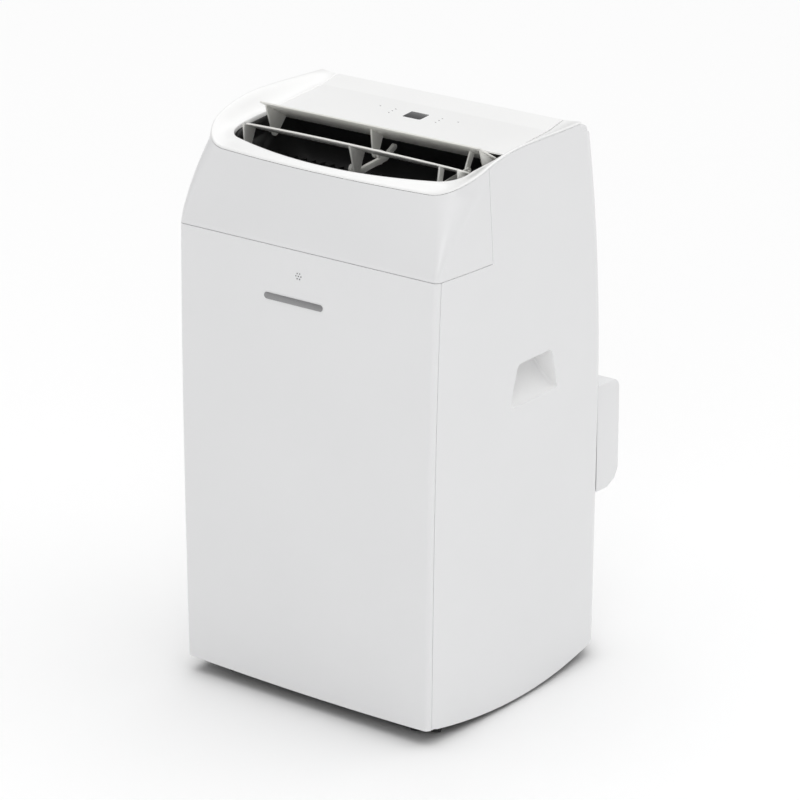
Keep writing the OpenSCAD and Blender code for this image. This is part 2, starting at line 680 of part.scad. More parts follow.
// The curved strut across the outlet that carries the louvers' middle pivots.
module louver_strut() {
    strut_t = 5;
    path = [[outlet_front_y + 4, crease_h - 36], front_pivot - [14, 14],
            (front_pivot + rear_pivot) / 2 - [0, 9], rear_pivot + [12, -8],
            [outlet_back_y + 15, crease_h - 4]];
    color(ivory) difference() {
        along_x(-strut_t / 2, strut_t / 2) union() {
            for (i = [0 : len(path) - 2]) hull() {
                translate(path[i]) circle(r = 4, $fn = 32);
                translate(path[i + 1]) circle(r = 4, $fn = 32);
            }
            for (p = [front_pivot, rear_pivot]) translate(p) circle(r = pivot_r + 3);
            for (p = [front_pivot, rear_pivot])
                translate([p[0] - 3, p[1] - 14]) square([6, 14]);
        }
        for (p = [front_pivot, rear_pivot]) translate([0, p[0], p[1]]) rotate([0, 90, 0])
            cylinder(r = pivot_r + turn_clear, h = 20, center = true);
    }
}

module louver_motor() {
    motor_r = 11;
    ear = [6, 32, 2];
    color(steel) translate([outlet_half_w + 1, rear_pivot[0], rear_pivot[1]]) rotate([0, 90, 0]) {
        cylinder(r = motor_r, h = 9);
        translate([-ear[0] / 2, -ear[1] / 2, 0]) cube(ear);
    }
}

// ---- Cooling unit --------------------------------------------------------------------------
blower_depth = scroll_y1 - scroll_y0 - 14;
upper_blower_z = deck_h + 135;
upper_scroll_r = upper_wheel_r + 26;
lower_blower_x = 60;
lower_blower_z = 170;
lower_scroll_r = lower_wheel_r + 20;
lower_neck_w = 115;
shaft_r = 4;
scroll_t = 2;

// Outline of a scroll: a round drum with a straight discharge neck upwards, grown by g.
module scroll_outline(drum_r, neck_w, neck_h, g) {
    circle(r = drum_r + g, $fn = 96);
    translate([-neck_w / 2 - g, 0]) square([neck_w + 2 * g, neck_h]);
}
module scroll(x, z, drum_r, wheel_r, neck_w, neck_h) {
    translate([x, scroll_y1, z]) rotate([90, 0, 0]) difference() {
        linear_extrude(scroll_y1 - scroll_y0) scroll_outline(drum_r, neck_w, neck_h, 0);
        translate([0, 0, scroll_t]) linear_extrude(scroll_y1 - scroll_y0 - 2 * scroll_t)
            scroll_outline(drum_r - scroll_t, neck_w - 2 * scroll_t, neck_h + 1, 0);
        translate([0, 0, -1]) cylinder(r = wheel_r - 10, h = scroll_t + 2, $fn = 96);
        translate([0, 0, scroll_y1 - scroll_y0 - scroll_t - 1])
            cylinder(r = shaft_r + 8, h = scroll_t + 2);
    }
}
// A squirrel-cage wheel on its shaft, axis along Y.
module blower(x, z, wheel_r) {
    hub_r = 14;
    ring_w = 12;
    ring_t = 4;
    disc_t = 3;
    blade = [10, 1.5, blower_depth - 4];
    spoke = [wheel_r - hub_r - 4, 6, ring_t - 1];
    translate([x, scroll_y1 - 7, z]) rotate([90, 0, 0]) union() {
        rotate_extrude($fn = 96) polygon([
            [0, 0], [hub_r, 0], [hub_r, blower_depth - disc_t], [wheel_r, blower_depth - disc_t],
            [wheel_r, blower_depth], [shaft_r, blower_depth], [shaft_r, blower_depth + 20],
            [0, blower_depth + 20]]);
        rotate_extrude($fn = 96) translate([wheel_r - ring_w, 0]) square([ring_w, ring_t]);
        for (i = [0 : wheel_blades - 1]) rotate(i * 360 / wheel_blades)
            translate([wheel_r - ring_w + 1, 0, ring_t / 2]) rotate(25)
            translate([0, -blade[1] / 2, 0]) cube(blade);
        for (i = [0 : 2]) rotate(120 * i) translate([hub_r - 2, -spoke[1] / 2, 0.5]) cube(spoke);
    }
}
module blower_motor(x, z, r) {
    length = 46;
    translate([x, scroll_y0 - 3, z]) rotate([90, 0, 0]) difference() {
        union() {
            cylinder(r = r, h = length);
            cylinder(r = r + 8, h = 3);
        }
        translate([0, 0, -1]) cylinder(r = shaft_r + turn_clear, h = 24);
    }
}
upper_neck_h = duct_floor_h - upper_blower_z - seam_gap;
lower_neck_top = deck_h - 68;
lower_neck_h = lower_neck_top - lower_blower_z;

module upper_scroll() color([0.85, 0.87, 0.88])
    scroll(0, upper_blower_z, upper_scroll_r, upper_wheel_r, 2 * upper_wheel_r, upper_neck_h);
module upper_blower() color(graphite) blower(0, upper_blower_z, upper_wheel_r);
module upper_motor() color(steel) blower_motor(0, upper_blower_z, 38);
module lower_scroll() color([0.85, 0.87, 0.88])
    scroll(lower_blower_x, lower_blower_z, lower_scroll_r, lower_wheel_r, lower_neck_w,
           lower_neck_h);
module lower_blower() color(graphite) blower(lower_blower_x, lower_blower_z, lower_wheel_r);
module lower_motor() color(steel) blower_motor(lower_blower_x, lower_blower_z, 34);

coil_y0 = scroll_y1 + 14;
coil_t = 38;
fin_pitch = 7.5;
// A finned coil between two end plates with its return bends, from x0 to x1 and z0 to z1.
module coil(x0, x1, z0, z1, tube_rows) {
    color(steel) union() {
        for (x = [x0 : fin_pitch : x1]) translate([x, coil_y0, z0]) cube([0.8, coil_t, z1 - z0]);
        for (x = [x0 - 1, x1 - 1]) translate([x, coil_y0, z0]) cube([2, coil_t, z1 - z0]);
        for (i = [0 : tube_rows - 1]) {
            z = z0 + (z1 - z0) * (i + 0.5) / tube_rows;
            translate([x0 - 4, coil_y0 + coil_t / 2, z]) rotate([0, 90, 0])
                cylinder(r = 4, h = x1 - x0 + 8);
        }
    }
}
module evaporator() coil(-150, 150, deck_h + 34, duct_floor_h + 25, 8);
module condenser() coil(-168, 128, 72, 232, 5);

// Box duct from the lower scroll's neck to the exhaust collar.
module exhaust_duct() {
    x0 = lower_blower_x - lower_neck_w / 2 - 5;
    x1 = housing_x + hose_r + 5;
    over = lower_neck_top + 1;
    end_y = rear_y - shell_t - 2;
    module profile(g) {
        offset(delta = g) polygon([
            [scroll_y0, over], [scroll_y1 + 4, over], [scroll_y1 + 12, housing_z - hose_r - 5],
            [end_y, housing_z - hose_r - 5], [end_y, deck_h - 3], [scroll_y0, deck_h - 3]]);
    }
    color(ivory) difference() {
        along_x(x0, x1) profile(0);
        along_x(x0 + duct_t, x1 - duct_t) profile(-duct_t);
        translate([lower_blower_x - lower_neck_w / 2 + scroll_t, scroll_y0 + 2 * scroll_t, over - 5])
            cube([lower_neck_w - 2 * scroll_t, scroll_y1 - scroll_y0 - 4 * scroll_t, 10]);
        translate([housing_x, end_y - 10, housing_z]) rotate([-90, 0, 0])
            cylinder(r = hose_r, h = 20, $fn = 96);
    }
}

module drip_tray() {
    color(ivory) difference() {
        translate([-165, coil_y0 - 6, deck_h + 10]) cube([330, coil_t + 12, 22]);
        translate([-162, coil_y0 - 3, deck_h + 13]) cube([324, coil_t + 6, 30]);
        translate([drain_x, coil_y0 + coil_t, upper_drain_z]) rotate([-90, 0, 0])
            cylinder(r = 5, h = 20);
    }
}

wire_x = -60;
module mid_deck() {
    color(ivory) difference() {
        translate([0, 0, deck_h]) linear_extrude(3) shell_plan(deck_h, shell_t + 3);
        translate([wire_x, front_y + 50, deck_h - 5]) cylinder(r = 12, h = 20);
    }
}

compressor_x = -85;
compressor_y = front_y + 110;
compressor_z = 74;
accumulator = [compressor_r + 22, 20, 30];
accumulator_h = 110;
neck_h = 8;
// The can with its dished cap and flange, and the accumulator strapped beside it.
module compressor() {
    dome_h = 20;
    flange_t = 4;
    color(black) translate([compressor_x, compressor_y, compressor_z]) union() {
        cylinder(r = compressor_r + 10, h = flange_t);
        translate([0, 0, flange_t - eps])
            cylinder(r = compressor_r, h = compressor_h - dome_h - flange_t);
        translate([0, 0, compressor_h - dome_h - 2 * eps])
            cylinder(r1 = compressor_r, r2 = compressor_r - 18, h = dome_h);
        translate(accumulator) cylinder(r = 20, h = accumulator_h);
        translate([compressor_r - 6, 14, 60]) cube([20, 12, 8]);
        translate([0, 0, compressor_h - neck_h]) cylinder(r = 12, h = 2 * neck_h);
    }
}
module compressor_feet() {
    ring_r = compressor_r - 7;
    color(graphite) for (a = [30, 150, 270])
        translate([compressor_x + ring_r * cos(a), compressor_y + ring_r * sin(a), tray_h + tray_t])
            cylinder(r = 10, h = compressor_z - tray_h - tray_t);
}

pipe_r = 4;
module refrigerant_pipes() {
    bend_r = 20;
    run = 30;
    start = [compressor_x, compressor_y, compressor_z] + accumulator + [0, 0, accumulator_h];
    top = deck_h - 30;
    discharge_z = compressor_z + compressor_h + neck_h;
    color(copper) union() {
        translate(start) cylinder(r = pipe_r, h = top - start[2]);
        translate([start[0], start[1] + bend_r, top]) rotate([90, 0, -90])
            rotate_extrude(angle = 90) translate([bend_r, 0]) circle(r = pipe_r);
        translate([start[0], start[1] + bend_r - eps, top + bend_r]) rotate([-90, 0, 0])
            cylinder(r = pipe_r, h = run);
        translate([compressor_x, compressor_y, discharge_z])
            cylinder(r = pipe_r, h = deck_h - 20 - discharge_z);
    }
}

module electrics_box() {
    size = [200, 48, 150];
    wall = 3;
    low = [-size[0] / 2, front_y + 22, deck_h + 30];
    color(ivory) difference() {
        translate(low) cube(size);
        translate(low + [wall, wall, wall]) cube(size - 2 * [wall, wall, wall]);
        translate([wire_x, low[1] + size[1] / 2, low[2] - 5]) cylinder(r = 8, h = 12);
    }
}

// ---- Rear fittings -------------------------------------------------------------------------
grille_t = 8;
module grille(w, h) {
    slot_h = 5;
    slot_pitch = 11;
    n = floor((h - 26) / slot_pitch);
    difference() {
        translate([-w / 2, -grille_t, -h / 2]) cube([w, grille_t, h]);
        translate([-w / 2 + 6, -grille_t - 1, -h / 2 + 6]) cube([w - 12, grille_t - 2, h - 12]);
        for (i = [0 : n - 1]) for (k = [-1, 0, 1])
            translate([k * (w - 30) / 3 - (w - 54) / 6, -grille_t,
                       (i - (n - 1) / 2) * slot_pitch - slot_h / 2])
            cube([(w - 54) / 3, 2 * grille_t, slot_h]);
        translate([-20, -4, h / 2 - 10]) cube([40, 10, 6]);
    }
}
module filter_mesh(w, h) {
    translate([-w / 2 + 6.5, -grille_t + 1, -h / 2 + 6.5]) cube([w - 13, 1.2, h - 13]);
}
module upper_filter_grille() color(white) on_upper_filter() translate([0, 2, 0])
    grille(upper_filter_w, upper_filter_h);
module upper_filter_mesh() color(graphite) on_upper_filter() translate([0, 2, 0])
    filter_mesh(upper_filter_w, upper_filter_h);
module lower_filter_grille() color(white) on_lower_filter() grille(lower_filter_w, lower_filter_h);
module lower_filter_mesh() color(graphite) on_lower_filter()
    filter_mesh(lower_filter_w, lower_filter_h);

housing_round = 16;
housing_t = 3;
collar_t = 3.6;
// Side profile of the exhaust housing from back_y outwards, grown by g.
module housing_profile(back_y, g) {
    top = housing_low + housing_h;
    out_y = rear_y + housing_out;
    offset(delta = g) polygon(concat(
        [[back_y, housing_low], [out_y - 26, housing_low], [out_y - 8, housing_low + 8],
         [out_y, housing_low + 22]],
        [for (a = [0 : 15 : 90]) [out_y - housing_round * (1 - cos(a)),
                                  top - housing_round * (1 - sin(a))]],
        [[back_y, top]]));
}
module exhaust_housing() {
    x0 = housing_x - housing_w / 2;
    color(white) difference() {
        along_x(x0, x0 + housing_w) housing_profile(rear_y - 5 * housing_t, 0);
        along_x(x0 + housing_t, x0 + housing_w - housing_t)
            housing_profile(rear_y - 8 * housing_t, -housing_t);
        translate([0, 0, housing_low - 1]) linear_extrude(housing_h + 2)
            shell_plan(housing_low + housing_h, -0.3);
        translate([housing_x, rear_y, housing_z]) rotate([-90, 0, 0])
            cylinder(r = hose_r + collar_t + 0.4, h = 2 * housing_out, $fn = 96);
    }
}
module hose_collar() {
    end_y = rear_y + housing_out;
    color(graphite) translate([housing_x, end_y - collar_len, housing_z]) rotate([-90, 0, 0])
        difference() {
            union() {
                cylinder(r = hose_r + collar_t, h = collar_len, $fn = 96);
                translate([0, 0, collar_len - 20])
                    cylinder(r = hose_r + collar_t + 2, h = housing_t, $fn = 96);
            }
            translate([0, 0, -1]) cylinder(r = hose_r, h = collar_len + 2, $fn = 96);
        }
}

spout_len = 16;
spout_out = 2;
drain_r = 5.5;
// A drain spout through the rear cover, with a flange behind it, reaching inwards to y_in.
module spout(z, y_in) {
    len = rear_at(z) + spout_out - y_in;
    translate([drain_x, y_in, z]) rotate([-90, 0, 0]) difference() {
        union() {
            cylinder(r = spout_r - 0.4, h = len);
            translate([0, 0, len - spout_len]) cylinder(r = spout_r + 3, h = 3);
        }
        translate([0, 0, -1]) cylinder(r = drain_r, h = len + 2);
    }
}
module drain_spouts() {
    color(white) {
        spout(upper_drain_z, coil_y0 + coil_t + 7);
        spout(lower_drain_z, rear_at(lower_drain_z) + spout_out - spout_len);
    }
}
module drain_plug(z) {
    head_t = 4;
    stem_len = 12;
    color(graphite) translate([drain_x, rear_at(z) + spout_out + 0.1, z]) rotate([-90, 0, 0]) {
        cylinder(r = spout_r + 2, h = head_t);
        translate([0, 0, -stem_len]) cylinder(r = drain_r - turn_clear, h = stem_len + eps);
        translate([0, 0, head_t - eps]) cylinder(r = 4, h = 4);
    }
}
module upper_drain_plug() drain_plug(upper_drain_z);
module lower_drain_plug() drain_plug(lower_drain_z);

cord_hole_r = 4.2;
module cord_gland() {
    color(graphite) translate([gland_x, rear_y - 14, gland_z]) rotate([-90, 0, 0]) difference() {
        union() {
            cylinder(r = gland_r + 4, h = 4);
            cylinder(r = gland_r - 0.4, h = 18);
            translate([0, 0, 14.2]) cylinder(r = gland_r + 3, h = 4);
        }
        translate([0, 0, -1]) cylinder(r = cord_hole_r, h = 30);
    }
}

module rear_screws() {
    length = 9;
    color(steel) for (p = screw_spots)
        translate([p[0], rear_at(p[1]) - length, p[1]]) rotate([-90, 0, 0]) {
            cylinder(r = 1.8, h = length + eps);
            translate([0, 0, length]) cylinder(r = 3.6, h = 2);
        }
}

// ---- Base and castors ----------------------------------------------------------------------
tray_h = 48;
tray_t = 4;
tray_rim = 16;
socket_h = 20;
module castor_spots() {
    for (x = [-1, 1]) for (y = [-1, 1])
        translate([x * castor_x, mid_y + y * castor_y, 0]) children();
}
module base_tray() {
    color(graphite) difference() {
        union() {
            translate([0, 0, tray_h]) linear_extrude(tray_t) shell_plan(tray_h, shell_t + 1);
            translate([0, 0, tray_h]) linear_extrude(tray_rim) difference() {
                shell_plan(tray_h, shell_t + 1);
                shell_plan(tray_h, shell_t + 4);
            }
            castor_spots() translate([0, 0, tray_h]) cylinder(r = 10, h = socket_h);
        }
        castor_spots() translate([0, 0, tray_h - 1])
            cylinder(r = swivel_r + turn_clear, h = socket_h - 2);
        translate([drain_x, rear_y, lower_drain_z]) rotate([90, 0, 0])
            cylinder(r = spout_r + 4, h = 40, center = true);
        translate([drain_x - 20, rear_y - 26, tray_h + tray_t]) cube([40, 40, 40]);
        translate([gland_x, rear_y, gland_z]) rotate([90, 0, 0])
            cylinder(r = gland_r + 5, h = 60, center = true);
    }
}

axle_r = 3;
fork_w = 14;
fork_top = tray_h - 1;
// A castor's swivelling fork about its own swivel axis, trailing along +X.
module fork() {
    translate([0, 0, fork_top - 3]) cylinder(r = 13, h = 3);
    translate([0, 0, fork_top - eps]) cylinder(r = swivel_r, h = socket_h - 4);
    difference() {
        rotate([90, 0, 0]) translate([0, 0, -fork_w / 2]) linear_extrude(fork_w) hull() {
            translate([castor_trail, wheel_r]) circle(r = axle_r + 5);
            translate([-8, fork_top - 3]) square([26, 2]);
        }
        translate([castor_trail, 0, wheel_r]) rotate([90, 0, 0])
            cylinder(r = axle_r + turn_clear, h = fork_w + 2, center = true);
    }
}
module twin_wheels() {
    translate([castor_trail, 0, wheel_r]) rotate([90, 0, 0]) {
        cylinder(r = axle_r, h = fork_w + 6, center = true);
        for (s = [-1, 1]) translate([0, 0, s * (fork_w / 2 + 0.5 + wheel_w / 2)]) difference() {
            cylinder(r = wheel_r, h = wheel_w, center = true);
            translate([0, 0, s * (wheel_w / 2)]) difference() {
                cylinder(r = wheel_r - 4, h = 3, center = true);
                cylinder(r = 6, h = 4, center = true);
            }
        }
    }
}
// Swivel spots and the way each castor trails as the part stands.
castors = [[-1, -1, -28], [1, -1, -62], [-1, 1, 150], [1, 1, 35]];
module at_castor(i) {
    c = castors[i];
    translate([c[0] * castor_x, mid_y + c[1] * castor_y, 0]) rotate(c[2])
        children();
}
module castor_fork_fl() color(black) at_castor(0) fork();
module castor_fork_fr() color(black) at_castor(1) fork();
module castor_fork_rl() color(black) at_castor(2) fork();
module castor_fork_rr() color(black) at_castor(3) fork();
module castor_wheels_fl() color(black) at_castor(0) twin_wheels();
module castor_wheels_fr() color(black) at_castor(1) twin_wheels();
module castor_wheels_rl() color(black) at_castor(2) twin_wheels();
module castor_wheels_rr() color(black) at_castor(3) twin_wheels();

base_tray();
front_panel();
fascia();
side_panel_left();
side_panel_right();
rear_cover();
rear_top_cap();
top_rim();
control_panel();
handle_cup_left();
handle_cup_right();
exhaust_housing();
hose_collar();
exhaust_duct();
upper_filter_grille();
upper_filter_mesh();
lower_filter_grille();
lower_filter_mesh();
display_window();
indicator_lenses();
control_board();
badge();
sensor_window();
outlet_duct();
outlet_guard();
louver_strut();
rear_louver();
front_louver();
louver_link();
louver_motor();
evaporator();
drip_tray();
upper_scroll();
upper_blower();
upper_motor();
mid_deck();
condenser();
lower_scroll();
lower_blower();
lower_motor();
compressor();
compressor_feet();
refrigerant_pipes();
electrics_box();
drain_spouts();
upper_drain_plug();
lower_drain_plug();
cord_gland();
rear_screws();
castor_fork_fl();
castor_fork_fr();
castor_fork_rl();
castor_fork_rr();
castor_wheels_fl();
castor_wheels_fr();
castor_wheels_rl();
castor_wheels_rr();
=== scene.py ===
import math

import bmesh
import bpy
import numpy as np
from mathutils import Matrix, Vector


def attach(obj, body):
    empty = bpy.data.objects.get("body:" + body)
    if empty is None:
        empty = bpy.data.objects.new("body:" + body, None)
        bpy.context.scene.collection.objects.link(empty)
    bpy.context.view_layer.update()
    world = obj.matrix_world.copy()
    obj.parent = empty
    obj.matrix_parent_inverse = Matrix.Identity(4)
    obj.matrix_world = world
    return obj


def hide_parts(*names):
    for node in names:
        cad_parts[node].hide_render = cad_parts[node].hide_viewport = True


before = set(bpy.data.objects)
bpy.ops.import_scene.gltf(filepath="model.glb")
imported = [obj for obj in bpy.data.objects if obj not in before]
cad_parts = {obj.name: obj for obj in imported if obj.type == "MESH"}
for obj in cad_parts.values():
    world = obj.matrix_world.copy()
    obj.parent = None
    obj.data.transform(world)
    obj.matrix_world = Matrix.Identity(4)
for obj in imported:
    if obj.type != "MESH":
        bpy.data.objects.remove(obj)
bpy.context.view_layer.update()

scene = bpy.context.scene
scene.view_settings.view_transform = "Standard"


# ---- Camera ----
# A long lens a good five metres away, to the right of the front and looking down on the top.
camera_data = bpy.data.cameras.new("camera")
camera_data.lens = 170.3
camera_data.sensor_width = 36
camera_data.clip_end = 60
camera = bpy.data.objects.new("camera", camera_data)
scene.collection.objects.link(camera)
camera.location = (2.939, -3.8405, 2.158)
aim = Vector((0.0064, -0.0185, 0.3865))
camera.rotation_euler = (aim - camera.location).to_track_quat("-Z", "Y").to_euler()
scene.camera = camera


# ---- Shader writing ----
# A finish is a material with its own small maths: a Wire is one shader value that Python operators
# work on, and Finish.node adds any other node.
class Wire:
    def __init__(self, finish, socket):
        self.finish = finish
        self.socket = socket

    def combined(self, operation, other):
        return self.finish.node("ShaderNodeMath", {"operation": operation}, {0: self, 1: other})

    def __add__(self, other):
        return self.combined("ADD", other)

    def __sub__(self, other):
        return self.combined("SUBTRACT", other)

    def __mul__(self, other):
        return self.combined("MULTIPLY", other)


class Finish:
    def __init__(self, name, **fixed):
        self.material = bpy.data.materials.new(name)
        self.material.use_nodes = True
        self.tree = self.material.node_tree
        self.shader = self.tree.nodes["Principled BSDF"]
        for socket, value in fixed.items():
            self.shader.inputs[socket.replace("_", " ")].default_value = value

    def node(self, kind, settings=None, inputs=None, output=0):
        made = self.tree.nodes.new(kind)
        for key, value in (settings or {}).items():
            setattr(made, key, value)
        for key, value in (inputs or {}).items():
            if isinstance(value, Wire):
                self.tree.links.new(value.socket, made.inputs[key])
            else:
                made.inputs[key].default_value = value
        return Wire(self, made.outputs[output])

    def feed(self, socket, wire):
        self.tree.links.new(wire.socket, self.shader.inputs[socket])

    def place(self):
        return self.node("ShaderNodeTexCoord", output="Object")

    def noise(self, scale, detail=2.0, stretch=None):
        place = self.place()
        if stretch:
            place = self.node("ShaderNodeMapping", {}, {"Vector": place, "Scale": stretch})
        return self.node("ShaderNodeTexNoise", {}, {"Vector": place, "Scale": scale, "Detail": detail})

    def tint(self, mask, dark, light):
        mixed = self.node("ShaderNodeMix", {"data_type": "RGBA"},
                          {0: mask, 6: (*dark, 1), 7: (*light, 1)}, output=2)
        self.feed("Base Color", mixed)

    def relief(self, height, strength, distance):
        self.feed("Normal", self.node("ShaderNodeBump", {}, {
            "Height": height, "Strength": strength, "Distance": distance}))


def moulded(name, colour, roughness, grain=1500, depth=0.00004, coat=0.0):
    """Injection-moulded plastic: an even colour with faint clouding, and the mould's fine texture."""
    cloud_scale, cloud_tint, cloud_shine, grain_strength = 6.0, 0.02, 0.08, 0.35
    finish = Finish(name, Coat_Weight=coat, Coat_Roughness=0.12)
    cloud = finish.noise(cloud_scale)
    finish.tint(cloud, [c * (1 - cloud_tint) for c in colour],
                [min(1, c * (1 + cloud_tint)) for c in colour])
    finish.feed("Roughness", (cloud - 0.5) * cloud_shine + roughness)
    finish.relief(finish.noise(grain, 1.0), grain_strength, depth)
    return finish.material


# ---- Floor and light ----
# A pale seamless floor under a broad overhead light, with a soft fill from beside the camera.
def add_object(name, mesh):
    made = bpy.data.objects.new(name, mesh)
    scene.collection.objects.link(made)
    return made


floor_half = 20
floor_mesh = bpy.data.meshes.new("floor")
floor_mesh.from_pydata([(-floor_half, -floor_half, 0), (floor_half, -floor_half, 0),
                        (floor_half, floor_half, 0), (-floor_half, floor_half, 0)], [], [(0, 1, 2, 3)])
floor = add_object("floor", floor_mesh)
floor_finish = Finish("studio_floor", Roughness=0.9)
floor_finish.tint(floor_finish.noise(0.5), (0.96, 0.96, 0.96), (0.97, 0.97, 0.97))
floor_mesh.materials.append(floor_finish.material)

world = bpy.data.worlds.new("studio")
world.use_nodes = True
background = world.node_tree.nodes["Background"].inputs
background["Color"].default_value = (1, 1, 1, 1)
background["Strength"].default_value = 0.4
scene.world = world

sky_data = bpy.data.lights.new("light_top", "SUN")
sky_data.energy = 1.95
sky_data.angle = math.radians(90)
sky = add_object("light_top", sky_data)
sky.rotation_euler = (math.radians(-8), math.radians(3), 0)

fill_data = bpy.data.lights.new("light_fill", "AREA")
fill_data.size = 1.2
fill_data.energy = 10
fill = add_object("light_fill", fill_data)
fill.location = (1.7, -2.6, 2.0)
fill_aim = Vector((0, 0, 0.5))
fill.rotation_euler = (fill_aim - fill.location).to_track_quat("-Z", "Y").to_euler()


# ---- Front panel ----
# One tall, nearly flat moulding in white ABS that wraps both upright front corners. The outline of
# the whole shell is worked out here, in millimetres, because every casing follows it.
MM = 0.001
body_w, body_d, body_h = 445.0, 402.0, 790.0
housing_out = 41.0
shell_t, seam_gap = 2.5, 0.8
fascia_h, crease_drop, crease_bow = 103.0, 42.0, 12.0
seam_setback, crease_setback, side_seam_setback = 9.0, 38.0, 119.0
front_corner_r, crease_corner_r, rear_corner_r = 8.0, 48.0, 34.0
rear_corner_start = math.radians(5)
side_taper, side_bow, bow_span = 6.0, 8.5, 180.0
side_seam_lean = 0.08
rear_lean, lean_run, rear_top_r, rear_step = 34.0, 333.0, 50.0, 5.0
shoulder_run, shoulder_fall, cap_drop = 150.0, 1.5, 2.0
front_skirt_h, front_skirt_rise = 20.0, 4.0
side_skirt_h, side_skirt_drop, side_skirt_end = 24.0, 18.0, 6.0
# Powers of the outline's curves: the higher one is, the more of its bend comes at one end.
seam_power, face_power, lean_power, bow_power, corner_power, shoulder_power = 3, 1.25, 1.8, 1.3, 1.6, 2.3

front_y = -(body_d + housing_out) / 2
rear_y = front_y + body_d
mid_y = (front_y + rear_y) / 2
bow_centre = front_y + 0.455 * body_d
crease_h = body_h - crease_drop
seam_h = crease_h - fascia_h
crease_y = front_y + crease_setback
top_back_y = rear_y - rear_lean - rear_top_r
rear_cap_h = body_h - cap_drop - rear_step - rear_top_r


def rise(z):
    """How far z is up the fascia, from 0 at its seam to 1 at the crease."""
    return min(1, max(0, (z - seam_h) / (crease_h - seam_h)))


def front_at(z):
    if z < seam_h:
        return front_y + seam_setback * (max(z, 0) / seam_h) ** seam_power
    lift = (z - seam_h) / (crease_h - seam_h)
    return front_y + seam_setback + (crease_setback - seam_setback) * lift ** face_power


def rear_at(z):
    return rear_y - rear_lean * (max(0, z - rear_cap_h + lean_run) / lean_run) ** lean_power


def side_at(y, z):
    taper = side_taper * (1 - min(z, seam_h) / seam_h)
    return body_w / 2 - taper - side_bow * ((y - bow_centre) / bow_span) ** 2


def side_seam_y(z):
    return front_y + side_seam_setback - side_seam_lean * max(0, z - seam_h)


FRONT, FRONT_CORNER, SIDE_AHEAD, SIDE_BEHIND, REAR_CORNER, REAR = range(6)


def shell_point(run, t, z):
    """A point of the right half of the shell: how far (0 to 1) along one run of its outline, at z."""
    yf, yr = front_at(z), rear_at(z)
    bow = crease_bow * rise(z) ** bow_power
    r = front_corner_r + (crease_corner_r - front_corner_r) * rise(z) ** corner_power
    a = side_at(yf + bow + r, z) - r
    phi = math.atan(2 * bow / a)
    xs = a + r * math.sin(phi)
    yc = yf + bow * (xs / a) ** 2 + r * math.cos(phi)
    ye = yr - rear_corner_r * (1 - math.sin(rear_corner_start))
    xc = side_at(ye, z) - rear_corner_r * math.cos(rear_corner_start)
    if run == FRONT:
        return Vector((xs * t, yf + bow * (xs * t / a) ** 2, z))
    if run == FRONT_CORNER:
        turn = phi + (math.pi / 2 - phi) * t
        return Vector((a + r * math.sin(turn), yc - r * math.cos(turn), z))
    if run == REAR_CORNER:
        turn = rear_corner_start + (math.pi / 2 - rear_corner_start) * t
        return Vector((xc + rear_corner_r * math.cos(turn),
                       yr - rear_corner_r * (1 - math.sin(turn)), z))
    if run == REAR:
        return Vector((xc * (1 - t), yr, z))
    y0, y1 = (yc, side_seam_y(z)) if run == SIDE_AHEAD else (side_seam_y(z), ye)
    y = y0 + (y1 - y0) * t
    return Vector((side_at(y, z), y, z))


def shoulder_h(y):
    """Height of the casing's top edge at y."""
    if y > top_back_y:
        return rear_cap_h + math.sqrt(max(0, rear_top_r ** 2 - (y - top_back_y) ** 2))
    start = crease_y + crease_bow
    if y < start:
        return crease_h
    f = min(1, (y - start) / shoulder_run)
    climb = (body_h - crease_h) * (1 - (1 - f) ** shoulder_power)
    return crease_h + climb - shoulder_fall * max(0, y) / top_back_y


def skirt_h(p):
    """Height of the casing's bottom edge at p: it hangs lowest at the middle of each side."""
    if abs(p.y - front_y) < 2 * front_corner_r:
        return front_skirt_h + front_skirt_rise * (p.x / (body_w / 2)) ** 2
    off_middle = min(1, abs(p.y - mid_y) / (body_d / 2 - side_skirt_end))
    return side_skirt_h - side_skirt_drop * (1 - off_middle ** 2)


def steps(low, high, count):
    return [low + (high - low) * i / count for i in range(count + 1)]


def run_of(run, t0, t1, count):
    return [(run, t) for t in steps(t0, t1, count)]


def both_sides(half):
    """Columns from the left edge, through the middle, to the right edge."""
    return [(run, t, -1) for run, t in reversed(half[1:])] + [(run, t, 1) for run, t in half]


def sided(column, z):
    p = shell_point(column[0], column[1], z)
    return Vector((column[2] * p.x, p.y, p.z))


def wall_top(column):
    """Height at which a column of the shell meets the shoulders, closed in on from a first guess."""
    z = crease_h - 8
    for _ in range(6):
        z = shoulder_h(shell_point(column[0], column[1], z).y)
    return z


def net(points, skipped=()):
    """Vertices and quads of rows of points. None marks a place with no point."""
    places, index, quads = [], {}, []
    for r, row in enumerate(points):
        for c, p in enumerate(row):
            if p is not None:
                index[r, c] = len(places)
                places.append(Vector(p))
    for r in range(len(points) - 1):
        for c in range(len(points[0]) - 1):
            corners = [(r, c), (r, c + 1), (r + 1, c + 1), (r + 1, c)]
            if (r, c) not in skipped and all(k in index for k in corners):
                quads.append([index[k] for k in corners])
    return places, quads, index


def piece_from(name, places, faces, material, body, node, inside=None):
    """A finished mesh in metres that stands for its CAD node. Its faces turn away from inside."""
    mesh = bpy.data.meshes.new(name)
    mesh.from_pydata([Vector(p) * MM for p in places], [], faces)
    mesh.update()
    if inside is not None:
        core = Vector(inside) * MM
        facing = sum(f.normal.dot(f.center - core) * f.area for f in mesh.polygons)
        if facing < 0:
            mesh.flip_normals()
    mesh.shade_smooth()
    mesh.materials.append(material)
    made = add_object(name, mesh)
    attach(made, body)
    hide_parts(node)
    return made


def facing_up(piece):
    if sum(f.normal.z * f.area for f in piece.data.polygons) < 0:
        piece.data.flip_normals()
    return piece


casing_edge = math.radians(50)


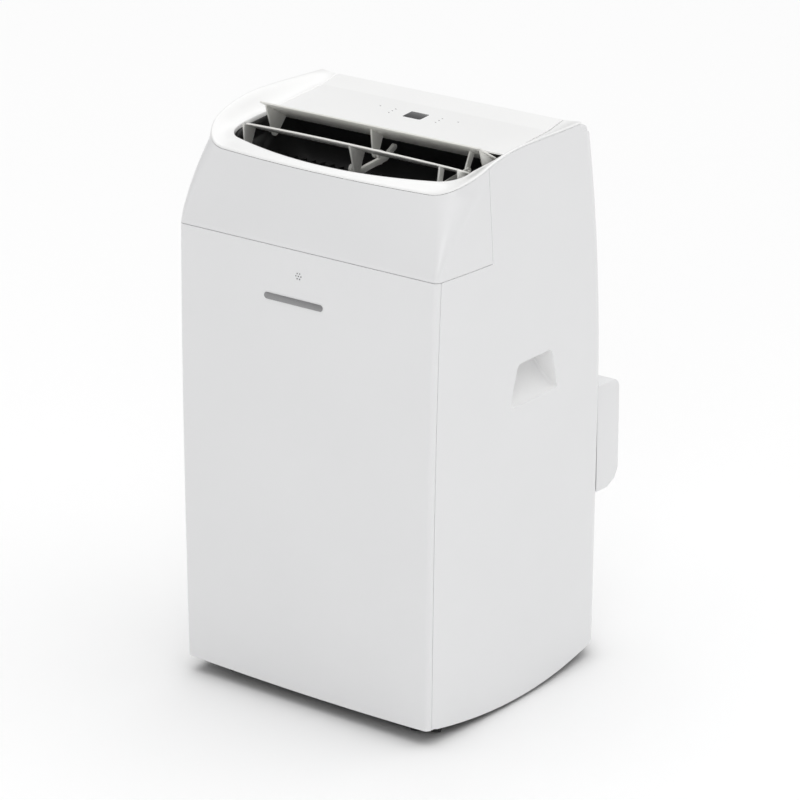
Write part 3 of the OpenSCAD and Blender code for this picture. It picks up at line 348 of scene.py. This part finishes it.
def thicken(piece, wall=shell_t, rounding=0.7):
    """Gives a casing its wall, inwards from the outer face, and rounds its cut edges."""
    solid = piece.modifiers.new("wall", "SOLIDIFY")
    solid.thickness = wall * MM
    solid.offset = -1
    solid.use_even_offset = True
    bevel = piece.modifiers.new("edges", "BEVEL")
    bevel.width = rounding * MM
    bevel.segments = 3
    bevel.limit_method = "ANGLE"
    bevel.angle_limit = casing_edge
    bevel.harden_normals = True
    return piece


body_core = (0, 0, 400)
shell_white = moulded("shell_white", (0.86, 0.862, 0.868), 0.34, coat=0.25)
columns = both_sides(run_of(FRONT, 0, 1, 26) + run_of(FRONT_CORNER, 0, 1, 12)[1:])
lows = [skirt_h(sided(c, 30)) for c in columns]
rows = [[sided(c, low + (seam_h - seam_gap / 2 - low) * f) for c, low in zip(columns, lows)]
        for f in steps(0, 1, 60)]
places, quads, _ = net(rows)
thicken(piece_from("front_panel_skin", places, quads, shell_white, "cabinet",
                   "front_panel", body_core))


# ---- Fascia ----
# The sloping band above the front panel. Its corners grow from tight at the seam to wide at the
# crease, which gives the top its rounded face.
columns = both_sides(run_of(FRONT, 0, 1, 36) + run_of(FRONT_CORNER, 0, 1, 20)[1:]
                     + run_of(SIDE_AHEAD, 0, 1, 16)[1:])
rim_drop, rim_gap = 2.2, 0.45
tops = [wall_top(c) - rim_drop - rim_gap for c in columns]
rows = [[sided(c, seam_h + seam_gap / 2 + (top - seam_h - seam_gap / 2) * f)
         for c, top in zip(columns, tops)] for f in steps(0, 1, 26)]
places, quads, _ = net(rows)
thicken(piece_from("fascia_skin", places, quads, shell_white, "cabinet", "fascia",
                   body_core))


# ---- Side panels ----
# Tall bowed mouldings that wrap the rear corners, cut away in front for the fascia and pierced by
# the hand recess. The surface is laid straight round the hole, so its shine stays unbroken.
def clip_ray(centre, toward, outline):
    """Where the ray from centre through toward crosses a closed outline."""
    d = toward - centre
    best = None
    for i, a in enumerate(outline):
        b = outline[(i + 1) % len(outline)]
        e = b - a
        cross = d.x * e.y - d.y * e.x
        if abs(cross) > 1e-12:
            w = a - centre
            t = (w.x * e.y - w.y * e.x) / cross
            s = (w.x * d.y - w.y * d.x) / cross
            if t > 0 and -1e-9 <= s <= 1 + 1e-9 and (best is None or t < best):
                best = t
    return centre + d * best


def open_hole(rows, flat, lift, low, high, outline, skipped, places, quads, index):
    """Cuts a shaped hole in a net: the cells between two corners go, and rings lead to its edge.
    flat gives a point's place on the unrolled surface, and lift puts such a place back on it."""
    cells = [(r, c) for r in range(len(rows) - 1) for c in range(len(rows[0]) - 1)
             if all(k in index and low.x <= flat(places[index[k]]).x <= high.x
                    and low.y <= flat(places[index[k]]).y <= high.y
                    for k in ((r, c), (r + 1, c), (r, c + 1), (r + 1, c + 1)))]
    skipped.update(cells)
    r0, r1 = min(r for r, _ in cells), max(r for r, _ in cells) + 1
    c0, c1 = min(c for _, c in cells), max(c for _, c in cells) + 1
    loop = ([(r0, c) for c in range(c0, c1)] + [(r, c1) for r in range(r0, r1)]
            + [(r1, c) for c in range(c1, c0, -1)] + [(r, c0) for r in range(r1, r0, -1)])
    ring = [index[k] for k in loop]
    starts = [flat(places[i]) for i in ring]
    centre = (low + high) / 2
    ends = [clip_ray(centre, p, outline) for p in starts]
    for f in (0.34, 0.67, 1.0):
        fresh = []
        for p, q in zip(starts, ends):
            fresh.append(len(places))
            places.append(lift(p.lerp(q, f)))
        for i in range(len(ring)):
            j = (i + 1) % len(ring)
            quads.append([ring[i], ring[j], fresh[j], fresh[i]])
        ring = fresh


def pierced(rows, flat, lift, holes):
    """Vertices and quads of rows of points, less a shaped hole between each pair of corners."""
    skipped, rings = set(), []
    places, _, index = net(rows)
    for low, high, outline in holes:
        open_hole(rows, flat, lift, low, high, outline, skipped, places, rings, index)
    return places, net(rows, skipped)[1] + rings


def rounded(points, radii):
    """A closed outline with each corner turned to an arc of its own radius."""
    made = []
    for i, p in enumerate(points):
        before, after = points[i - 1], points[(i + 1) % len(points)]
        u, v = (before - p).normalized(), (after - p).normalized()
        half = u.angle(v) / 2
        reach = radii[i] / math.tan(half)
        centre = p + (u + v).normalized() * radii[i] / math.sin(half)
        first, last = p + u * reach - centre, p + v * reach - centre
        sweep = first.angle_signed(last)
        made += [centre + Matrix.Rotation(-sweep * f, 2) @ first for f in steps(0, 1, 8)]
    return made


def rounded_box(x, y, half_w, half_h, radius):
    corners = [Vector((x - half_w, y - half_h)), Vector((x + half_w, y - half_h)),
               Vector((x + half_w, y + half_h)), Vector((x - half_w, y + half_h))]
    return rounded(corners, [radius] * 4)


grip_y, grip_top, grip_low = front_y + 217, 491.0, 433.0
grip_mid_z = (grip_low + grip_top) / 2
grip_half_base, grip_half_top, grip_half_knee, knee_h = 54.0, 39.0, 51.0, 16.0
base_r, knee_r, top_r = 5.0, 30.0, 9.0
grip_fit, hole_margin = 0.5, 12.0


def grip_outline(grow):
    """The hand recess in the side's own y and z: a flat base, leaning sides and a narrower top."""
    corners = [Vector((grip_y - grip_half_base - grow, grip_low - grow)),
               Vector((grip_y + grip_half_base + grow, grip_low - grow)),
               Vector((grip_y + grip_half_knee + grow, grip_low + knee_h)),
               Vector((grip_y + grip_half_top + grow, grip_top + grow)),
               Vector((grip_y - grip_half_top - grow, grip_top + grow)),
               Vector((grip_y - grip_half_knee - grow, grip_low + knee_h))]
    return rounded(corners, [base_r, base_r, knee_r, top_r, top_r, knee_r])


cap_round = 6.0
columns = (run_of(SIDE_AHEAD, 0.006, 1, 22)[:-1] + run_of(SIDE_BEHIND, 0, 1, 62)
           + run_of(REAR_CORNER, 0, 1, 18)[1:])
cut_h = seam_h - seam_gap / 2
low_rows, high_rows = 132, 34


def side_rows():
    """Rows of the right side panel: whole below the fascia's seam, and only behind it above."""
    rows = []
    for f in steps(0, 1, low_rows):
        rows.append([sided((run, t, 1), skirt_h(shell_point(run, t, 30)) * (1 - f) + cut_h * f)
                     for run, t in columns])
    for f in steps(0, 1, high_rows)[1:]:
        row = []
        for run, t in columns:
            if run == SIDE_AHEAD:
                row.append(None)
                continue
            shoulder = wall_top((run, t))
            top = shoulder - rim_drop - rim_gap
            if shell_point(run, t, shoulder).y > top_back_y:
                top -= cap_round * max(0, (shoulder - rear_cap_h) / rear_top_r) ** 2
            p = sided((run, t, 1), cut_h + (top - cut_h) * f)
            if run == SIDE_BEHIND and t == 0:
                p.y += seam_gap
                p.x = side_at(p.y, p.z)
            row.append(p)
        rows.append(row)
    corner = rows[low_rows][[run for run, _ in columns].index(SIDE_BEHIND)]
    corner.y += seam_gap
    return rows


hole_half = grip_half_base + hole_margin
places, quads = pierced(
    side_rows(), lambda p: Vector((p.y, p.z)), lambda q: Vector((side_at(q.x, q.y), q.x, q.y)),
    [(Vector((grip_y - hole_half, grip_low - hole_margin)),
      Vector((grip_y + hole_half, grip_top + hole_margin)), grip_outline(grip_fit))])
for side, name in ((1, "right"), (-1, "left")):
    turned = [Vector((side * p.x, p.y, p.z)) for p in places]
    thicken(piece_from("side_skin_" + name, turned, quads, shell_white, "cabinet",
                       "side_panel_" + name, body_core))


# ---- Hand recesses ----
# Separate cups behind the holes in the sides: the floor scoops up and in, and the roof lifts behind
# the top edge so that fingers can hook over it. They are glued in from inside.
grip_depth, floor_rise, roof_rise = 38.0, 38.0, 9.0
roof_start, roof_run = 5.0, 10.0
cup_inset, cup_lip, cup_hollow, cup_t = 0.4, 2.4, 0.6, 2.0


def cup_point(outline_point, depth):
    """Where a point of the recess's outline lies at a depth into it."""
    f = min(1, depth / grip_depth)
    floor = grip_low + floor_rise * f ** 1.7
    roof = grip_top + roof_rise * max(0, min(1, (depth - roof_start) / roof_run)) ** 1.5
    v = (outline_point.y - grip_low) / (grip_top - grip_low)
    squeeze = 1 - 0.1 * f ** 2
    return grip_y + (outline_point.x - grip_y) * squeeze, floor + (roof - floor) * v


cup_white = moulded("recess_white", (0.94, 0.94, 0.94), 0.36)
cup_outline = grip_outline(0)
cup_depths = [-1.0, -0.6, 0, 2, 4, 6, 9, 12, 16, 20, 24, 28, 31.5, 34.5, 36.5, 37.5]
for side, name in ((1, "right"), (-1, "left")):
    rows = []
    for depth in cup_depths:
        lip = max(0, -depth)
        row = []
        for p in cup_outline:
            y, z = cup_point(p, max(0, depth))
            out = Vector((y - grip_y, z - grip_mid_z)).normalized() * lip
            reach = side_at(p.x, p.y) - cup_inset - max(0, depth)
            row.append(Vector((side * reach, y + out.x * cup_lip, z + out.y * cup_lip)))
        rows.append(row)
    back_row = rows[-1]
    back_y, back_z = cup_point(Vector((grip_y, grip_mid_z)), grip_depth)
    for f in (0.9, 0.72, 0.5, 0.28, 0.08):
        rows.append([Vector((p.x - side * (1 - f) * cup_hollow, back_y + (p.y - back_y) * f,
                             back_z + (p.z - back_z) * f)) for p in back_row])
    rows = [row + [row[0]] for row in rows]
    places, quads, _ = net(rows)
    quads.append([len(places) - 2 - i for i in range(len(cup_outline))])
    cup = piece_from("hand_recess_" + name, places, quads, cup_white, "cabinet",
                     "handle_cup_" + name, (side * body_w, grip_y, grip_mid_z))
    cup_mesh = bmesh.new()
    cup_mesh.from_mesh(cup.data)
    bmesh.ops.remove_doubles(cup_mesh, verts=cup_mesh.verts, dist=1e-6)
    cup_mesh.to_mesh(cup.data)
    cup_mesh.free()
    # Turned to face the hand, so that the wall grows away from it.
    cup.data.flip_normals()
    thicken(cup, cup_t, 0.3)


# ---- Rear cover ----
# The back of the casing, leaning in towards the top, with openings for both filter grilles. It is
# screwed to the base tray and to the flanges of the side panels.
def rear_flat(p):
    return Vector((p.x, p.z))


def rear_lift(q):
    return Vector((q.x, rear_at(q.y), q.y))


rear_low = skirt_h(Vector((0, rear_y, 0)))
rows = []
for f in steps(0, 1, 180):
    z = rear_low + (rear_cap_h - seam_gap - rear_low) * f
    edge = shell_point(REAR, 0, z).x - seam_gap
    rows.append([Vector((edge * s, rear_at(z), z)) for s in steps(-1, 1, 90)])
upper_filter_z, lower_filter_z, lower_filter_x = 560.0, 145.0, -40.0
upper_half_w, upper_half_h, lower_half_w, lower_half_h = 150.0, 120.0, 120.0, 75.0
filter_r, filter_margin, fit_gap = 4.0, 9.0, 0.6
holes = []
for x, z, half_w, half_h in ((0, upper_filter_z, upper_half_w, upper_half_h),
                             (lower_filter_x, lower_filter_z, lower_half_w, lower_half_h)):
    reach = Vector((half_w + filter_margin, half_h + filter_margin))
    holes.append((Vector((x, z)) - reach, Vector((x, z)) + reach,
                  rounded_box(x, z, half_w + fit_gap, half_h + fit_gap, filter_r)))
# The port for the hose is a circle cut off straight beside the upright edge of the cover.
port_inset, port_r, port_margin = 113.0, 68.5, 6.0
port_edge_x, port_edge_margin = 158.0, 4.0
housing_low, housing_h = 240.0, 155.0
port_x, port_z = body_w / 2 - port_inset, housing_low + housing_h / 2
port_outline = [Vector((min(port_x + port_r * math.cos(a), port_edge_x), port_z + port_r * math.sin(a)))
                for a in steps(0, 2 * math.pi, 72)[:-1]]
holes.append((Vector((port_x - port_r - port_margin, port_z - port_r - port_margin)),
              Vector((port_edge_x + port_edge_margin, port_z + port_r + port_margin)), port_outline))
places, quads = pierced(rows, rear_flat, rear_lift, holes)
thicken(piece_from("rear_skin", places, quads, shell_white, "cabinet",
                   "rear_cover", body_core))


# ---- Rounded rear top ----
# A quarter-round cap joins the rear cover to the top. Towards the sides it follows the rear corners.
edge_curve = [shell_point(run, t, wall_top((run, t))) for run, t in reversed(
    run_of(SIDE_BEHIND, 0.5, 1, 60) + run_of(REAR_CORNER, 0, 1, 60)[1:])]


def cap_reach(z):
    """Half the width of the cap at z: out to the top edge of the side panels."""
    return float(np.interp(z, [p.z for p in edge_curve], [p.x for p in edge_curve]))


cap_gap, cap_edge_r = 0.4, 0.5
flange_in, flange_lean, flange_deep, tongue = 2.8, 0.1, 6.0, 6.0
rows = []
for turn in steps(0, math.pi / 2, 26):
    up = Vector((0, math.cos(turn), math.sin(turn)))
    spot = Vector((0, top_back_y, rear_cap_h)) + up * rear_top_r
    radius = cap_edge_r + (cap_round + rim_drop) * math.sin(turn) ** 2
    flat = cap_reach(spot.z) - cap_gap - radius
    arc = [(flat + radius * math.sin(a), radius * (1 - math.cos(a))) for a in steps(0, math.pi / 2, 8)]
    arc += [(flat + radius - flange_in, radius + flange_lean),
            (flat + radius - flange_in - flange_lean, radius + flange_deep)]
    across = [(-x, drop) for x, drop in reversed(arc)] + [
        (flat * s, 0) for s in steps(-1, 1, 36)[1:-1]] + arc
    rows.append([spot + Vector((x, 0, 0)) - up * drop for x, drop in across])
rows.append([p - Vector((0, tongue, 0)) for p in rows[-1]])
places, quads, _ = net(rows)
thicken(piece_from("rear_top_skin", places, quads, shell_white, "cabinet",
                   "rear_top_cap", body_core))


# ---- Top rim ----
# The bright ring moulding on top: it rolls over from the shoulders, falls to the recessed top and
# turns down into the air outlet.
front_slope, rear_slope, strip_slope = math.radians(11), math.radians(5), math.radians(12)
rim_w, rim_climb, blade_w, blade_gap = 14.0, 4.0, 62.0, 2.0
outlet_back_setback, strip_d = 183.0, 35.0
outlet_half_w, outlet_corner_r, outlet_bow = 189.0, 35.0, 20.0
edge_r, lip_r, lip_deep = 1.8, 2.2, 4.0
outlet_front_y = crease_y + rim_w
outlet_back_y = front_y + outlet_back_setback
slope_break_y = outlet_front_y + blade_w + blade_gap
strip_y = top_back_y - strip_d


def top_h(y):
    """Height of the recessed top at y: the front louver's slope, the panel's and the strip's."""
    height = crease_h + rim_climb + (min(y, slope_break_y) - outlet_front_y) * math.tan(front_slope)
    height += max(0, min(y, strip_y) - slope_break_y) * math.tan(rear_slope)
    return height + max(0, y - strip_y) * math.tan(strip_slope)


def outlet_point(run, t):
    a = outlet_half_w - outlet_corner_r
    phi = math.atan(2 * outlet_bow / a)
    xs = a + outlet_corner_r * math.sin(phi)
    yc = outlet_front_y + outlet_bow * (xs / a) ** 2 + outlet_corner_r * math.cos(phi)
    if run == FRONT:
        return Vector((xs * t, outlet_front_y + outlet_bow * (xs * t / a) ** 2))
    if run == FRONT_CORNER:
        turn = phi + (math.pi / 2 - phi) * t
        return Vector((a + outlet_corner_r * math.sin(turn), yc - outlet_corner_r * math.cos(turn)))
    return Vector((outlet_half_w, yc + (top_back_y - yc) * t))


def shoulder_point(run, t):
    if run != SIDE_AHEAD:
        return shell_point(run, t, wall_top((run, t)))
    start = shoulder_point(FRONT_CORNER, 1)
    y = start.y + (top_back_y - start.y) * t
    z = shoulder_h(y - 1e-6)
    return Vector((side_at(y, z), y, z))


def below_shoulder(run, t, drop):
    top = shoulder_point(run, t)
    if run == SIDE_AHEAD:
        return Vector((side_at(top.y, top.z - drop), top.y, top.z - drop))
    return shell_point(run, t, top.z - drop)


def rim_column(run, t, side):
    """Up the rim's outer edge, over the shoulder, down the ramp and round the inner lip."""
    a = shoulder_point(run, t)
    b = outlet_point(run, t)
    inner = Vector((b.x, b.y, top_h(b.y)))
    away = Vector((inner.x - a.x, inner.y - a.y, 0)).normalized()
    inner -= away * lip_r
    column = [below_shoulder(run, t, drop) for drop in (rim_drop, edge_r)]
    for turn in (22.5, 45, 67.5):
        bend = math.radians(turn)
        column.append(a + away * edge_r * (1 - math.cos(bend))
                      - Vector((0, 0, edge_r * (1 - math.sin(bend)))))
    a = a + away * edge_r
    for f in steps(0, 1, 16):
        g = f ** 1.15
        drop = f * f * (3 - 2 * f)
        column.append(Vector((a.x + (inner.x - a.x) * g, a.y + (inner.y - a.y) * g,
                              a.z + (inner.z - a.z) * drop)))
    for turn in (30, 60, 90):
        bend = math.radians(turn)
        column.append(inner + away * lip_r * math.sin(bend)
                      - Vector((0, 0, lip_r * (1 - math.cos(bend)))))
    column.append(column[-1] - Vector((0, 0, lip_deep)))
    return [Vector((side * p.x, p.y, p.z)) for p in column]


top_white = moulded("top_white", (0.93, 0.93, 0.925), 0.3, coat=0.25)
columns = both_sides(run_of(FRONT, 0, 1, 36) + run_of(FRONT_CORNER, 0, 1, 20)[1:]
                     + run_of(SIDE_AHEAD, 0, 1, 48)[1:])
rows = [rim_column(*c) for c in columns]
places, quads, _ = net(rows)
rim = piece_from("top_rim_skin", places, quads, top_white, "cabinet", "top_rim")
thicken(facing_up(rim), 1.2, 0.25)


# ---- Control panel ----
# The recessed top: a plain white moulding behind the outlet, with a steeper strip at the back. The
# display window and the indicator lenses look out through it.
def on_top(x, y):
    return Vector((x, y, top_h(y)))


panel_ys = steps(outlet_back_y + blade_gap, strip_y, 40) + steps(strip_y, top_back_y, 16)[1:]
rows = [[on_top((outlet_half_w - seam_gap) * s, y) for s in steps(-1, 1, 120)] for y in panel_ys]
display_y, display_half_w, display_half_d, display_r = front_y + 246.0, 15.0, 11.0, 3.0
display_margin = 5.0
middle = Vector((0, display_y))
reach = Vector((display_half_w + display_margin, display_half_d + display_margin))
places, quads = pierced(
    rows, lambda p: Vector((p.x, p.y)), lambda q: on_top(q.x, q.y),
    [(middle - reach, middle + reach,
      rounded_box(0, display_y, display_half_w, display_half_d, display_r))])
panel = piece_from("control_panel_skin", places, quads, top_white, "cabinet",
                   "control_panel")
thicken(facing_up(panel), 2.5, 0.3)


# ---- Pieces that keep their CAD shape ----
# Small mouldings, castings and rubber parts. Each is the CAD piece joined up again, and most have
# their sharp edges broken by a small radius.
nearly_flat, part_edge = math.radians(0.6), math.radians(35)


def refined(node, material, body, rounding=0.5, segments=2):
    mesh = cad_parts[node].data.copy()
    work = bmesh.new()
    work.from_mesh(mesh)
    bmesh.ops.remove_doubles(work, verts=work.verts, dist=1e-6)
    bmesh.ops.dissolve_limit(work, angle_limit=nearly_flat, verts=work.verts, edges=work.edges)
    work.to_mesh(mesh)
    work.free()
    mesh.materials.clear()
    mesh.materials.append(material)
    mesh.shade_smooth()
    made = add_object(node + "_finished", mesh)
    if rounding:
        bevel = made.modifiers.new("edges", "BEVEL")
        bevel.width = rounding * MM
        bevel.segments = segments
        bevel.limit_method = "ANGLE"
        bevel.angle_limit = part_edge
        bevel.harden_normals = True
        bevel.use_clamp_overlap = True
    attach(made, body)
    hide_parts(node)
    return made


louver_ivory = moulded("louver_ivory", (0.93, 0.925, 0.89), 0.4)
refined("rear_louver", louver_ivory, "rear_louver", 0.7, 3)
refined("front_louver", louver_ivory, "front_louver", 0.7, 3)
refined("louver_link", louver_ivory, "louver_link", 0.3)
refined("louver_strut", louver_ivory, "cabinet", 0.5)
refined("exhaust_housing", shell_white, "cabinet", 1.0, 3)
refined("upper_filter_grille", shell_white, "upper_filter", 0.35)
refined("lower_filter_grille", shell_white, "lower_filter", 0.35)
refined("drain_spouts", shell_white, "cabinet", 0.3)

duct_black = moulded("duct_black", (0.028, 0.028, 0.028), 0.42)
refined("outlet_duct", duct_black, "cabinet", 0)
refined("outlet_guard", duct_black, "cabinet", 0)

base_dark = moulded("base_dark", (0.02, 0.02, 0.021), 0.55)
refined("base_tray", base_dark, "cabinet", 0.4)
refined("hose_collar", base_dark, "cabinet", 0.4)

castor_black = moulded("castor_black", (0.014, 0.014, 0.015), 0.42)
for corner in ("fl", "fr", "rl", "rr"):
    refined("castor_fork_" + corner, castor_black, "castor_" + corner, 0.4)
    refined("castor_wheels_" + corner, castor_black, "wheels_" + corner, 0.5, 3)


# ---- Badge ----
# A slim plain metal bar on the front panel.
badge_finish = Finish("badge_metal", Metallic=1.0)
brushed = badge_finish.noise(300, 3.0, (1.0, 30.0, 30.0))
badge_finish.tint(brushed, (0.24, 0.24, 0.245), (0.34, 0.34, 0.345))
badge_finish.feed("Roughness", brushed * 0.15 + 0.22)
refined("badge", badge_finish.material, "cabinet", 0.4, 3)


# ---- Windows and lenses ----
# Smoked clear plastic over the display, and small dark lenses for the lamps and the receiver.
display_finish = Finish("display_glass", Coat_Weight=0.6, Coat_Roughness=0.05)
cloud = display_finish.noise(40)
display_finish.tint(cloud, (0.022, 0.023, 0.025), (0.038, 0.04, 0.043))
display_finish.feed("Roughness", cloud * 0.08 + 0.1)
refined("display_window", display_finish.material, "cabinet", 0.4)
lens_finish = Finish("lens_dark", Coat_Weight=0.4)
cloud = lens_finish.noise(200)
lens_finish.tint(cloud, (0.012, 0.012, 0.013), (0.02, 0.02, 0.021))
lens_finish.feed("Roughness", cloud * 0.1 + 0.2)
refined("indicator_lenses", lens_finish.material, "cabinet", 0.15)
refined("sensor_window", lens_finish.material, "cabinet", 0.2)


# ---- Rubber parts ----
# Drain plugs, the compressor's feet and the cord gland, in soft grey rubber.
rubber_grey = moulded("rubber_grey", (0.12, 0.12, 0.125), 0.7)
refined("upper_drain_plug", rubber_grey, "upper_drain_plug", 0.3)
refined("lower_drain_plug", rubber_grey, "lower_drain_plug", 0.3)
refined("cord_gland", rubber_grey, "cabinet", 0.3)


# ---- Carried-over parts ----
# Everything inside keeps its CAD mesh and takes the finish of its own material.
def dress(nodes, material):
    for node in nodes:
        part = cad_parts[node]
        part.data.materials.clear()
        part.data.materials.append(material)


unit_ivory = moulded("unit_ivory", (0.72, 0.70, 0.64), 0.5)
scroll_grey = moulded("scroll_grey", (0.42, 0.43, 0.44), 0.5)
blower_grey = moulded("blower_grey", (0.2, 0.21, 0.22), 0.45)
compressor_black = moulded("compressor_black", (0.02, 0.02, 0.021), 0.35, 400, 0.0001)
dress(["drip_tray", "mid_deck", "electrics_box", "exhaust_duct"], unit_ivory)
dress(["upper_scroll", "lower_scroll"], scroll_grey)
dress(["upper_blower", "lower_blower"], blower_grey)
dress(["compressor"], compressor_black)
dress(["compressor_feet"], rubber_grey)


def drawn_metal(name, dark, light, rough, stretch):
    finish = Finish(name, Metallic=1.0)
    streak = finish.noise(120, 3.0, stretch)
    finish.tint(streak, dark, light)
    finish.feed("Roughness", streak * 0.18 + rough)
    finish.relief(streak, 0.2, 0.00005)
    return finish.material


motor_steel = drawn_metal("motor_steel", (0.42, 0.43, 0.44), (0.55, 0.56, 0.57), 0.3, (1, 20, 1))
dress(["upper_motor", "lower_motor", "louver_motor", "rear_screws"], motor_steel)
coil_metal = drawn_metal("coil_metal", (0.62, 0.63, 0.65), (0.74, 0.75, 0.77), 0.35, (60, 1, 1))
dress(["evaporator", "condenser"], coil_metal)
pipe_copper = drawn_metal("pipe_copper", (0.60, 0.28, 0.16), (0.76, 0.38, 0.24), 0.22, (8, 8, 8))
dress(["refrigerant_pipes"], pipe_copper)
mesh_dark = moulded("mesh_dark", (0.04, 0.042, 0.045), 0.7)
dress(["upper_filter_mesh", "lower_filter_mesh"], mesh_dark)
board_green = moulded("board_green", (0.02, 0.12, 0.06), 0.4)
dress(["control_board"], board_green)
